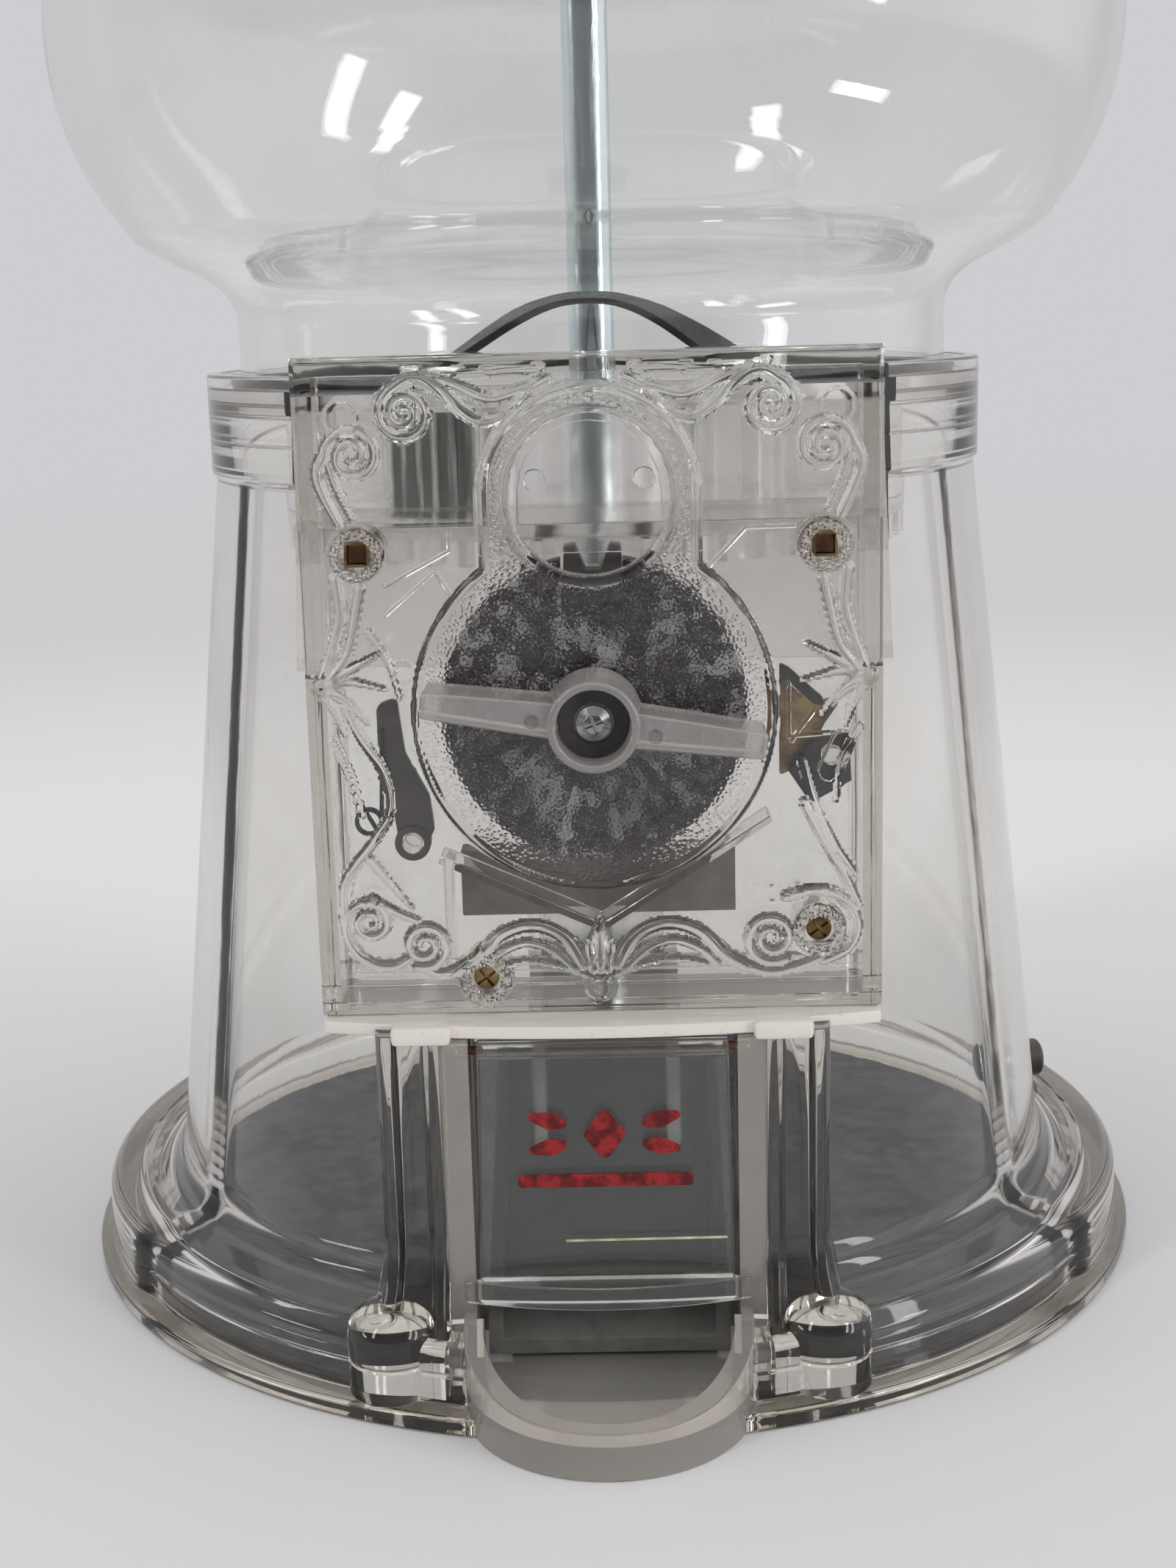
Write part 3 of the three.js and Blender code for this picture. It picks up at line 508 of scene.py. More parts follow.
def dusty_ramp():
    """Charcoal plastic with pale dust on the end that faces the tray."""
    m = Mat("dusty_charcoal")
    y = m.add("SeparateXYZ", {"Vector": m.place()}).outputs[1]
    end = m.product(m.below(y, -0.0915, -0.0780), m.between(m.noise(220, 4), 0.2, 0.6, 0.55, 1.0))
    body = m.mix(m.noise(30, 4), (0.016, 0.017, 0.021, 1), (0.055, 0.056, 0.062, 1))
    values = {"Base Color": m.mix(end, body, (0.17, 0.165, 0.155, 1)), "Roughness": 0.5,
              "Normal": m.bump(m.noise(400, 3), 0.4, 0.08)}
    return m.finish(m.add("BsdfPrincipled", values).outputs[0])


SHAFT = clear("chute_acrylic", (0.94, 0.935, 0.925, 1), (0.84, 0.825, 0.80, 1), 0.10, bump=0.15, extra=shaded_foot)
RAMP = dusty_ramp()


def crumpled_wheel():
    """The coin wheel: purple-black, crumpled and mottled with grey, with spokes round its middle. The grey is partly
    its own mottling and partly painted highlight: fine flecks and white specks paint the foil's sparkle, and the
    spokes below its middle carry a painted sheen.
    """
    m = Mat("mottled_wheel_painted_sparkle")
    x, _, z = m.add("SeparateXYZ", {"Vector": m.place()}).outputs
    up = m.math("SUBTRACT", z, AXLE_Z * MM)
    away = m.distance(x, up)
    spoke = m.math("SINE", m.product(m.math("ARCTAN2", x, up), 30))
    low = m.between(up, -0.004, -0.010)
    # Painted sheen: the spokes below the middle are painted lighter.
    painted_sheen_spokes = m.product(low, m.between(spoke, 0.1, 0.8), m.between(away, 0.012, 0.014), m.below(away, 0.023, 0.0245))
    crumple = m.noise(190, 6, rough=0.68, distortion=0.9)
    sparkle_flecks = m.noise(900, 3)
    # The light mask is partly the wheel's own grey mottling and partly painted highlight.
    light = m.between(m.plus(m.product(crumple, 0.62), m.product(sparkle_flecks, 0.38)), 0.51, 0.58)
    light = m.math("MAXIMUM", light, m.product(painted_sheen_spokes, m.between(crumple, 0.44, 0.54)), clamp=True)
    # Painted glints: white specks stand in for the sparkle of the crinkled surface.
    specks = m.between(m.noise(2300, 2), 0.60, 0.68)
    light = m.math("MAXIMUM", light, m.product(specks, 0.7), clamp=True)
    dark = m.mix(m.noise(90, 3), (0.042, 0.015, 0.030, 1), (0.012, 0.009, 0.013, 1))
    patchy = m.product(light, m.between(m.noise(70, 3), 0.30, 0.60, 0.45, 1.0))
    colour = m.mix(patchy, dark, (0.86, 0.85, 0.88, 1))
    values = {"Base Color": colour, "Roughness": 0.30,
              "Normal": m.bump(m.plus(crumple, m.product(painted_sheen_spokes, 0.2)), 0.9, 0.9)}
    return m.finish(m.add("BsdfPrincipled", values).outputs[0])


MOTTLED_PAINTED_SPARKLE = crumpled_wheel()


def striped_wheel():
    """Clear pale plastic; on the fluted stretch that shows at the left the colour is painted dark grey-green, striped
    paler along the flutes, as painted shade.
    """
    m = Mat("wheel_plastic")
    x, y, z = m.add("SeparateXYZ", {"Vector": m.place()}).outputs
    # Painted shade: the front-left stretch of the rim is coloured dark, with paler streaks along its flutes.
    stretch = m.product(m.below(x, -0.0225, -0.0195), m.between(x, -0.0400, -0.0370), m.below(y, -0.045, -0.040),
                        m.between(z, 0.1585, 0.1600))
    groove = m.between(m.math("SINE", m.product(m.math("ARCTAN2", x, y), 112)), -0.6, 0.7)
    streak = m.between(m.noise(300, 4, m.stretched((1, 1, 0.12))), 0.35, 0.7)
    painted_shade_flutes = m.mix(m.product(groove, streak), (0.03, 0.036, 0.033, 1), (0.66, 0.70, 0.67, 1))
    pale = m.mix(m.noise(60, 3), (0.90, 0.895, 0.885, 1), (0.95, 0.945, 0.935, 1))
    values = {"Base Color": m.mix(stretch, pale, painted_shade_flutes), "Roughness": 0.14, "IOR": 1.3, "Transmission Weight": 1.0,
              "Normal": m.bump(m.product(stretch, m.plus(streak, groove)), 0.3, 0.2)}
    return m.finish(m.add("BsdfPrincipled", values).outputs[0])


WHEEL = striped_wheel()


# ---------------------------------------------------------------- body

BASE_R = (box_mm("body_shell")[1] - box_mm("body_shell")[0]).x / 2
BODY_TOP = box_mm("body_shell")[1].z
PLATE_R = box_mm("base_plate")[1].x
PLATE_ROOM_R = PLATE_R + 0.4
PLATE_POCKET = 2.7
LEDGE_TOP = 72.2
LEFT_PIVOT = (-33.8, 102.7)
HINGE = (-94.4, 67)
FOOT = {"x": 39.8, "y": -97.4, "r": 8.5, "waist": 8.1, "top": 20.6}
JAMB = {"half": 29.4, "front": -96.4, "back": -80, "top": 69.7}
TRAY = {"r": 26.5, "back": -88, "top": 24}
CUP = {"r": 22.9, "back": -70, "floor": 5.2, "top": 60}
TRAY_Y = -100.8


def body_loop(wall, ring_r, ring_top, groove):
    """The wall's section; wall is how far it is set in from the sides."""
    inner = PLATE_ROOM_R
    shelf = ring_top + 0.5
    return fillet([
        (inner, 0, 0.3), (BASE_R, 0, 0.5), (BASE_R, 3.2, 1.1), (ring_r, 3.5, 0.5), (ring_r, 8.4, 0.25),
        (ring_r - groove, 8.9, 0.25), (ring_r, 9.4, 0.25), (ring_r, ring_top, 3.2), (104.6, shelf, 0.8),
        (103.6, shelf - 0.5, 0.6), (102.4, shelf + 0.1, 0.8), (95.3 - wall, shelf + 1.2, 10),
        (79.4 - wall, 165, 1.2), (80.3, 166.2, 0.8), (80.3, 172.7, 0.2), (79.95, 173, 0.2), (80.3, 173.3, 0.2),
        (80.3, BODY_TOP, 0.7), (77.3, BODY_TOP, 0.5), (77.3, 183.2, 0.3), (66.8, 183.2, 0.6), (66.8, 180.2, 0.6),
        (76.7, 178.6, 1), (75.0, 165, 3), (91.2, 18.5, 9), (inner, 11.2, 4),
    ], 6)


def front_share(azimuth):
    """1 across the front, 0 round the sides and back."""
    return float(step(np.array(-abs(math.degrees(azimuth))), -61, -56.5))


def body_wall():
    return turned("machine_body", body_loop(0, 111.5, 16.2, 0), turns=288,
                  front=body_loop(0.7, 109.6, 14.7, 0.5), share=front_share)


def foot(side):
    r = FOOT["r"]
    dome = [(0, 1), (r, 1, 0.3), (r, 9.4, 0.3), (FOOT["waist"], 9.9, 0.3), (r, 10.4, 0.3), (r, 14.2, 0.3)]
    dome += [(r * math.cos(a), 14.4 + 6.2 * math.sin(a)) for a in np.radians(np.arange(8, 90, 8))]
    dome.append((0, FOOT["top"]))
    return turned("foot", fillet(dome, 4, closed=False), at=(side * FOOT["x"], FOOT["y"]), turns=64)


def pilaster(side):
    """A column with a rib along each front edge, sweeping forward and out at its foot."""
    outline = fillet([(29, -79), (29, -95.2, 1), (29.8, -96.8, 0.9), (31.4, -96.6, 0.8), (32.4, -95, 1.2),
                      (37, -95, 1.2), (38, -96.6, 0.8), (39.8, -96.6, 1.2), (41, -94, 2), (41, -79)], 5)
    heights = [PLATE_POCKET, 13] + list(np.linspace(14, 34, 15)) + [LEDGE_TOP - 1]
    verts = []
    for z in heights:
        reach = float(step(np.array(-z), -34, -14)) ** 1.6
        for x, y in outline:
            forward = max(0.0, (-y - 88) / 8.8)
            wide = max(0.0, (x - 34) / 7)
            verts.append((side * (x + 2.6 * wide * reach), y - 5 * forward * reach, z))
    rings = len(outline), len(heights)
    return build("pilaster", verts, ends(*rings) + walls(*rings))


def tray_outline(r, back):
    front = [(r * math.cos(a), TRAY_Y + r * math.sin(a)) for a in np.linspace(math.pi, 2 * math.pi, 41)]
    return [(-r, back)] + front + [(r, back)]


def cup():
    """The room inside the tray."""
    return prism("cup", tray_outline(CUP["r"], CUP["back"]), "Z", CUP["floor"], CUP["top"])


def tray():
    rim = [(-86, 40), (-86, 17.6)]
    for t in np.linspace(0, 1, 14):
        rim.append((-97 - 31 * t, 17 - 8.5 * t * t * (3 - 2 * t)))
    rim += [(-142, 8), (-142, 40)]
    tray_block = prism("tray", tray_outline(TRAY["r"], TRAY["back"]), "Z", 0, TRAY["top"])
    cut(tray_block, prism("slope", rim, "X", -40, 40), cup())
    return bevelled(tray_block, 0.9, 3, 50)


def ledge(grow=0.0):
    half, back = 50.4 + grow, -72 + grow
    front = [(x, -92 - grow - 6 * (1 - (x / half) ** 2)) for x in np.linspace(-half, half, 33)]
    plate = prism("panel_ledge", [(-half, back)] + front + [(half, back)], "Z", 69.8 - grow, LEDGE_TOP + grow, 0.5)
    pads = [block("pad", (s * 32.5 - 5.4 - grow, s * 32.5 + 5.4 + grow), (-97.8 - grow, -80),
                  (68.8 - grow, LEDGE_TOP + 0.2 + grow), 1.0) for s in (-1, 1)]
    return union(plate, *pads)


def doorway(top):
    """The room behind the door, the tray's room and the holes for the door's pin."""
    return [block("doorway", (-24.2, 24.2), (-99, -70), (CUP["floor"], top)), cup(),
            rod("pin_room", 1.1, "X", -26.4, 26.4, HINGE, 20)]


def tray_and_jambs():
    half = JAMB["half"]
    frame_box = block("tray_and_jambs", (-half, half), (JAMB["front"], JAMB["back"]), (PLATE_POCKET, JAMB["top"]), 0.8)
    union(frame_box, tray())
    return cut(frame_box, *doorway(80))


PANEL_LOW, PANEL_HIGH = box_mm("front_panel")
PANEL_HALF = PANEL_HIGH.x
PANEL_BACK = -78


def machine_body():
    """The clear moulding, with room cut for the pieces that have their own materials."""
    back = PANEL_BACK + 0.3
    gap = 0.04
    jamb = JAMB["half"] + gap
    frame_box = block("frame", (-PANEL_HALF, PANEL_HALF), (back, -60), (LEDGE_TOP - 0.2, 133.4), 0.6)
    body = cut(body_wall(), block("upper", (-54.6, 54.6), (-130, -46.7), (133.7, 200)))
    union(body, frame_box, foot(-1), foot(1), pilaster(-1), pilaster(1))
    cut(
        body,
        block("lower_window", (-47.4, 47.4), (-130, -50), (74.6, 134)),
        block("panel_room", (-51.2, 51.2), (-130, back), (LEDGE_TOP, 134)),
        rod("plate_room", PLATE_ROOM_R, "Z", -1, PLATE_POCKET, turns=160),
        ledge(gap),
        block("frame_room", (-jamb, jamb), (JAMB["front"] - gap, JAMB["back"] + gap), (-1, JAMB["top"] + 0.06)),
        prism("tray_room", tray_outline(TRAY["r"] + gap, TRAY["back"] + 0.1), "Z", -1, TRAY["top"]),
        *doorway(69.5),
        radial("plug_room", 4.6, 84, 120),
    )
    return body


def radial(name, r, start, end, edge=0.0):
    """A round peg standing out of the wall low at the right, where the rear plug sits."""
    peg = rod(name, r, "X", start, end, turns=32, edge=edge)
    peg.data.transform(Matrix.Rotation(math.radians(12.5), 4, "Z"))
    peg.data.transform(Matrix.Translation((0, 0, 22 * MM)))
    return peg


piece(machine_body(), PLASTIC, "body", ["body_shell"])
piece(ledge(), LEDGE_HAZE, "body", ["body_shell"])
piece(tray_and_jambs(), TRAY_HAZE, "body", ["body_shell"])
piece(radial("rear_plug_cap", 4.3, 90, 103.4, edge=0.9), UMBER, "body", ["rear_plug"])


def base_disc():
    loop = [(0, 0), (PLATE_R, 0, 0.3), (PLATE_R, 2.4, 0.4), (9, 2.4, 0.6), (9, 8, 0.6), (ROD_BORE_R, 8, 0.2),
            (ROD_BORE_R, 2.4), (0, 2.4)]
    return turned("base_disc", fillet(loop, 3, closed=False), turns=160)


piece(base_disc(), CHARCOAL, "body", ["base_plate"])


# ---------------------------------------------------------------- front panel

SCREWS = [(-40.7, 156.2), (40.7, 156.2), (39.5, 86.9), (-20.8, 78.9)]
SQUARE_HEADS = (1, 2)
PANEL_FRONT = -90.0
PANEL_INNER = PANEL_FRONT + 2.6
PANEL_BOTTOM, PANEL_TOP = PANEL_LOW.z, PANEL_HIGH.z


def spiral(x, z, r, turns, start, hand):
    """Points from the outer end of a scroll to its eye."""
    steps = int(26 * turns)
    end_r = 0.9
    points = []
    for i in range(steps + 1):
        f = i / steps
        angle = math.radians(start) + hand * 2 * math.pi * turns * f
        size = r + (end_r - r) * f
        points.append((x + size * math.cos(angle), z + size * math.sin(angle)))
    return points


def mirrored(stroke):
    points, wide, high = stroke
    return [(-x, z) for x, z in points], wide, high


# Each stroke is (points, (half width at start, at end), height). Left side first.
SHARED = [
    (spiral(-31.3, 180.2, 4.6, 2.0, 120, 1), (1.15, 0.75), 1.5),
    ([(-33.6, 184.3), (-29.4, 186.2), (-24.8, 184), (-21.2, 180.4), (-17.8, 178.7), (-13.6, 180), (-10.2, 183)],
     (1.3, 1.0), 1.5),
    ([(-28, 186.8), (-22, 184.6), (-16.4, 182.6), (-11, 183.9), (-6.6, 185.6)], (1.1, 0.9), 1.1),
    ([(-31, 187.4), (-20, 186.9), (-8, 187.3)], (0.7, 0.7), 0.7),
    (spiral(-40.6, 173.2, 4.9, 1.8, 175, -1), (1.0, 0.7), 1.3),
    ([(-45.6, 173.4), (-46.8, 170.6), (-46.0, 167), (-43.4, 161.6)], (1.2, 0.8), 1.3),
    ([(-44.6, 171.8), (-43.4, 167.6), (-41.2, 162.6)], (0.8, 0.6), 1.0),
    ([(-44.4, 152), (-44, 145.8), (-45.6, 140), (-47.6, 134.8)], (1.1, 0.8), 1.1),
    ([(-40.4, 150.4), (-41.6, 144.4), (-43.2, 138.6), (-46.8, 134)], (1.0, 0.7), 1.2),
    ([(-48.2, 133.2), (-43.6, 134.2), (-36.6, 132.6)], (1.5, 0.4), 1.3),
    ([(-48.2, 133.2), (-42.2, 136.4), (-37.2, 139.2)], (1.3, 0.4), 1.2),
    ([(-48.2, 133.2), (-43.8, 130.6), (-40, 126.6)], (1.3, 0.4), 1.2),
    ([(-48.2, 133.2), (-46, 129.4), (-44.2, 124.6)], (1.2, 0.4), 1.1),
    ([(-48.2, 133.2), (-45.6, 137.4), (-43.6, 141)], (1.1, 0.4), 1.0),
]
LEFT = [
    ([(-39.2, 142.6), (-35.8, 137), (-34.2, 131)], (0.7, 0.5), 0.7),
    ([(-43.8, 129.6), (-41.2, 123.8), (-38, 118.4), (-36.6, 113), (-37.2, 109)], (0.9, 0.7), 1.0),
    ([(-37.2, 109), (-40.4, 104.4), (-43.2, 101), (-45.4, 97), (-45.8, 91)], (0.8, 1.0), 1.1),
    ([(-46.2, 123.4), (-43.4, 116.6), (-42, 109.8)], (0.6, 0.5), 0.7),
    (spiral(-41.2, 90.2, 4.1, 1.7, 185, -1), (1.0, 0.7), 1.3),
    (spiral(-31.6, 85.8, 4.3, 1.8, 250, 1), (1.05, 0.7), 1.4),
    ([(-45.8, 91), (-44.8, 86), (-41.6, 82.6), (-37.6, 81.8), (-34.6, 83.2)], (1.1, 0.9), 1.2),
    ([(-40.6, 94.6), (-36.6, 92), (-32.6, 90.2)], (0.8, 0.7), 1.0),
    ([(-40.6, 101.6), (-37.4, 97.4), (-33.6, 92.6)], (1.0, 0.4), 0.8),
    ([(-33, 81.4), (-28, 80.4), (-24, 82.6)], (0.8, 0.7), 1.0),
]
RIGHT = [
    ([(36.4, 117.8), (38.2, 111.6), (41.4, 104), (45.6, 97.4)], (0.9, 0.7), 1.0),
    ([(36.8, 110.6), (40.2, 103.8), (44, 97), (46.4, 91.4)], (0.9, 0.8), 1.0),
    ([(46.6, 124), (43.6, 118.4), (42.4, 111)], (0.8, 0.5), 0.8),
    (spiral(30.9, 85.9, 4.7, 1.9, -60, -1), (1.1, 0.7), 1.4),
    ([(33.6, 93.4), (39.2, 94.6), (44, 92.6), (46.2, 88.2), (44.6, 83.6), (40, 81.2)], (1.1, 0.9), 1.2),
    ([(26, 80.6), (31, 79.4), (36.4, 80.6), (40.4, 82.2)], (1.0, 0.8), 1.0),
]
BOTTOM = [
    ([(3, 81.4), (6.4, 86.6), (11.8, 88.9), (17.7, 87.4), (22.3, 83), (26.4, 80.4)], (1.2, 1.2), 1.3),
    ([(4.4, 80.6), (8.4, 84.2), (13.4, 85.7), (18.3, 83.9), (21, 81.4)], (0.9, 0.8), 1.0),
    ([(2.4, 79.4), (7, 81.2), (13, 82.2), (19, 81.2)], (0.6, 0.6), 0.7),
]
BUD = [
    ([(0, 89.6), (0, 85), (0, 80.4)], (0.9, 0.9), 1.7),
    ([(0, 89.4), (1.7, 85.6), (1.4, 80.4)], (0.5, 0.8), 1.5),
    ([(-2.4, 79.6), (0, 78.9), (2.4, 79.6)], (0.6, 0.6), 1.6),
]


def strokes():
    made = LEFT + RIGHT
    for stroke in SHARED + BOTTOM + BUD:
        made = made + [stroke, mirrored(stroke)]
    return made


def raise_stroke(x, z, height, stroke):
    """Lifts a half-round ridge along one stroke into the height field."""
    points, (wide_start, wide_end), high = stroke
    line = curve_through(points, 6)
    wide = np.linspace(wide_start, wide_end, len(line))
    reach = max(wide_start, wide_end)
    near = ((x > line[:, 0].min() - reach) & (x < line[:, 0].max() + reach)
            & (z > line[:, 1].min() - reach) & (z < line[:, 1].max() + reach))
    if not near.any():
        return
    px, pz = x[near], z[near]
    best = np.zeros(px.shape)
    for i in range(len(line) - 1):
        a, b = line[i], line[i + 1]
        d = b - a
        t = np.clip(((px - a[0]) * d[0] + (pz - a[1]) * d[1]) / max(d @ d, 1e-9), 0, 1)
        gap = np.hypot(px - a[0] - t * d[0], pz - a[1] - t * d[1])
        w = wide[i] + t * (wide[i + 1] - wide[i])
        best = np.maximum(best, high * np.sqrt(np.clip(1 - (gap / w) ** 2, 0, 1)))
    height[near] = np.maximum(height[near], best)


def relief(x, z):
    """How far the panel's front stands out, in millimetres."""
    height = np.zeros(x.shape)
    for stroke in strokes():
        raise_stroke(x, z, height, stroke)
    disc = np.hypot(x, z - AXLE_Z) - 32
    arch = np.hypot(x, z - np.clip(z, AXLE_Z + 16, RING_Z)) - 19.2
    plate = np.minimum(disc, arch)
    height *= step(plate, -0.4, 0.6)
    rim = 0.45 * np.exp(-((plate + 0.9) / 0.5) ** 2)
    height = np.maximum(height, 1.35 * step(-plate, -0.35, 0.45) + rim)
    lip = np.hypot(x, z - RING_Z)
    height += 0.5 * step(-lip, -16.2, -15.4) * step(lip, 12.8, 15)
    for cx, cz in SCREWS:
        away = np.hypot(x - cx, z - cz)
        rough = 0.35 * np.sin(5.1 * x + 3.3 * z) * np.sin(4.3 * z - 2.9 * x)
        boss = (1.0 + rough) * step(-away, -5.0, -4.2)
        height = np.maximum(height, boss)
    for cx, cz, r in RIPPLES:
        away = np.abs(np.hypot(x - cx, z - cz) - r)
        height += 0.22 * np.exp(-(away / 0.22) ** 2)
    edge = np.minimum(PANEL_HALF - np.abs(x), np.minimum(z - PANEL_BOTTOM, PANEL_TOP - z))
    return height * step(edge, 0.8, 1.6) - 0.7 * (1 - step(edge, 0, 0.9))


def panel_slab():
    """The relief front on a flat back, closed round the edge."""
    pitch = 0.34
    columns = int(2 * PANEL_HALF / pitch)
    rows = int((PANEL_TOP - PANEL_BOTTOM) / pitch)
    xs = np.linspace(-PANEL_HALF, PANEL_HALF, columns + 1)
    zs = np.linspace(PANEL_BOTTOM, PANEL_TOP, rows + 1)
    x, z = np.meshgrid(xs, zs)
    x, z = x.ravel(), z.ravel()
    front = np.column_stack([x, PANEL_FRONT - relief(x, z), z])
    across = columns + 1
    faces = [(j * across + i, j * across + i + 1, (j + 1) * across + i + 1, (j + 1) * across + i)
             for j in range(rows) for i in range(columns)]
    edge = (list(range(across)) + [j * across + columns for j in range(1, rows + 1)]
            + [rows * across + i for i in range(columns - 1, -1, -1)] + [j * across for j in range(rows - 1, 0, -1)])
    back = front[edge].copy()
    back[:, 1] = PANEL_INNER
    base = len(front)
    count = len(edge)
    faces += [(edge[i], edge[(i + 1) % count], base + (i + 1) % count, base + i) for i in range(count)]
    faces.append([base + i for i in range(count)])
    return build("panel_cast", np.vstack([front, back]), faces)


def bar(name, a, b, width, low, high, edge=0.3):
    """A straight rib between two (x, z) points."""
    a, b = Vector(a), Vector(b)
    side = Vector((a.y - b.y, b.x - a.x)).normalized() * width / 2
    return prism(name, [tuple(a + side), tuple(b + side), tuple(b - side), tuple(a - side)], "Y", low, high, edge)


# Each group is (width, back, lines between two (x, z) points).
RIBS = [
    (1.6, -80, [((-28.5, 101), (1, 87.6)), ((0, 87.6), (31, 107.4)), ((-27.2, 101), (-27.2, 81))]),
    (0.9, -86, [((-36.4, 150.4), (-24.6, 156.5)), ((-24.6, 156.5), (-24.6, 160)), ((-36.6, 145.2), (-27.3, 153)),
                ((-27.3, 153), (-24.7, 148.6)), ((19.9, 151.9), (27, 159.3)), ((27, 159.3), (35.9, 159.4))]),
    (0.8, -85, [((34.4, 132), (34.4, 121.5)), ((34.4, 121.9), (42, 122.4)), ((34.6, 120.8), (39, 126.6))]),
]
# Each ripple ring is (x, z, radius).
RIPPLES = [(-42, 179.8, 2.8), (42.6, 180, 2.8), (35.6, 94.1, 1.6), (-33.5, 135.7, 1.8), (-40.7, 94.8, 1.7),
           (30.9, 93.9, 1.4), (0, 77, 2.3)]


def front_panel():
    slab = panel_slab()
    outer = [(-PANEL_HALF, PANEL_BOTTOM, 0.4), (PANEL_HALF, PANEL_BOTTOM, 0.4), (PANEL_HALF, PANEL_TOP, 1.6),
             (-PANEL_HALF, PANEL_TOP, 1.6)]
    rim = prism("rim", fillet(outer, 4), "Y", PANEL_INNER - 1.4, PANEL_BACK, 0.35)
    cut(rim, block("hollow", (-PANEL_HALF + 3.4, PANEL_HALF - 3.4), (PANEL_INNER - 5, PANEL_BACK + 5),
                   (PANEL_BOTTOM + 2, PANEL_TOP - 3.4)))
    start = PANEL_INNER - 0.4
    ribs = [bar("rib", *line, width, start, back) for width, back, lines in RIBS for line in lines]
    lug = [(43.2, 123.4, 2), (46.6, 121.4, 2), (42.6, 112.4, 2.2), (39, 114.6, 2.2)]
    ribs.append(prism("lug", fillet(lug, 4), "Y", start, -83.2, 0.5))
    bosses = [rod("boss", 4.6, "Y", start, -79, at, 40, 0.4) for at in SCREWS]
    union(slab, rim, *ribs, *bosses)
    holes = [rod("hole", 2.7, "Y", -95, -70, at, 28) for at in SCREWS]
    bore = rod("bore", 14, "Y", -100, PANEL_INNER + 1, RING, 120)
    mouth = turned("mouth", [(0, -93), (15.2, -93), (14.0, -91.2), (14.0, -89), (0, -89)], "Y", RING, 120)
    return cut(slab, bore, mouth, rod("axle_bore", AXLE_BORE_R, "Y", -100, -80, AXLE, 32), *holes)


piece(front_panel(), CAST, "body", ["front_panel"], angle=38)


def square(name, at, half, front, back, edge=0.0):
    """A square bar along Y, centred on an (x, z) point."""
    x, z = at
    return block(name, (x - half, x + half), (front, back), (z - half, z + half), edge)


def cross(at, reach, way, width, front, back):
    """Two crossed slots in a screw's head; way is the direction of the first."""
    (x, z), (c, s) = at, way
    return [bar("slot", (x - reach * u, z - reach * v), (x + reach * u, z + reach * v), width, front, back, 0)
            for u, v in ((c, s), (-s, c))]


def brass_screw(index, at):
    """The two upper screws have square heads with a square socket, the lower two are round and slotted."""
    if index in SQUARE_HEADS:
        head = square(f"brass_screw_{index}", at, 2.2, -89.6, -86.4, 0.25)
    else:
        head = rod(f"brass_screw_{index}", 2.3, "Y", -88.8, -86.4, at, 32, 0.35)
    union(head, rod("shank", 1.5, "Y", -87, -73.2, at, 20, 0.3))
    if index in SQUARE_HEADS:
        return cut(head, square("socket", at, 1.7, -90, -87.2))
    return cut(head, *cross(at, 2, (0.8, 0.6), 0.55, -90, -87.9))


for number, centre in enumerate(SCREWS, 1):
    piece(brass_screw(number, centre), BRASS, "body", [f"panel_screw_{number}"])
    if number in SQUARE_HEADS:
        piece(square(f"socket_shade_{number}", centre, 1.6, -88.2, -87.3, 0.1), RUST, "body")


# ---------------------------------------------------------------- handle and coin wheel

HANDLE_LOW, HANDLE_HIGH = box_mm("handle")
HANDLE_FRONT, HANDLE_BACK = HANDLE_LOW.y, HANDLE_HIGH.y
TILT = math.radians(8.2)


def tilted(points):
    c, s = math.cos(TILT), math.sin(TILT)
    return [(c * x + s * z, AXLE_Z - s * x + c * z) for x, z in points]


def handle():
    wing = [(-29.8, -2.3, 0.9), (-8, -3.1, 2), (8, -3.1, 2), (29.8, -2.3, 0.9), (29.8, 2.3, 0.9), (8, 3.1, 2),
            (-8, 3.1, 2), (-29.8, 2.3, 0.9)]
    wings = prism("handle_grip", tilted(fillet(wing, 4)), "Y", HANDLE_FRONT + 1.5, HANDLE_BACK, 0.7, 3)
    hub = [(0, HANDLE_BACK), (8.4, HANDLE_BACK, 0.5), (7.9, HANDLE_FRONT, 0.7), (6.5, HANDLE_FRONT, 0.5),
           (6.4, -100, 0.4), (0, -100)]
    union(wings, turned("hub", fillet(hub, 4, closed=False), "Y", AXLE, 72))
    recess = [(0, -110), (6.5, -110), (6.4, -100.2, 0.4), (0, -100)]
    notches = []
    for side in (-1, 1):
        (x, z), = tilted([(side * 10.6, -0.4)])
        notches.append(rod("notch", 1.3, "Y", -108, HANDLE_FRONT + 2.3, (x, z), 24))
    return cut(wings, turned("recess", fillet(recess, 3, closed=False), "Y", AXLE, 64),
               rod("screw_bore", 1.9, "Y", -101, -96, AXLE, 24),
               rod("axle_bore", AXLE_BORE_R, "Y", -97.5, -90, AXLE, 32), *notches)


def screw_head():
    dome = [(0, -102.6), (1.6, -102.4, 0.6), (3.2, -101.2, 0.5), (3.2, -100.3, 0.2), (1.5, -100.3),
            (1.5, -97.8, 0.3), (0, -97.8)]
    head = turned("handle_screw_head", fillet(dome, 3, closed=False), "Y", AXLE, 32)
    return cut(head, *cross(AXLE, 1.7, (0.94, 0.34), 0.6, -104, -101.7))


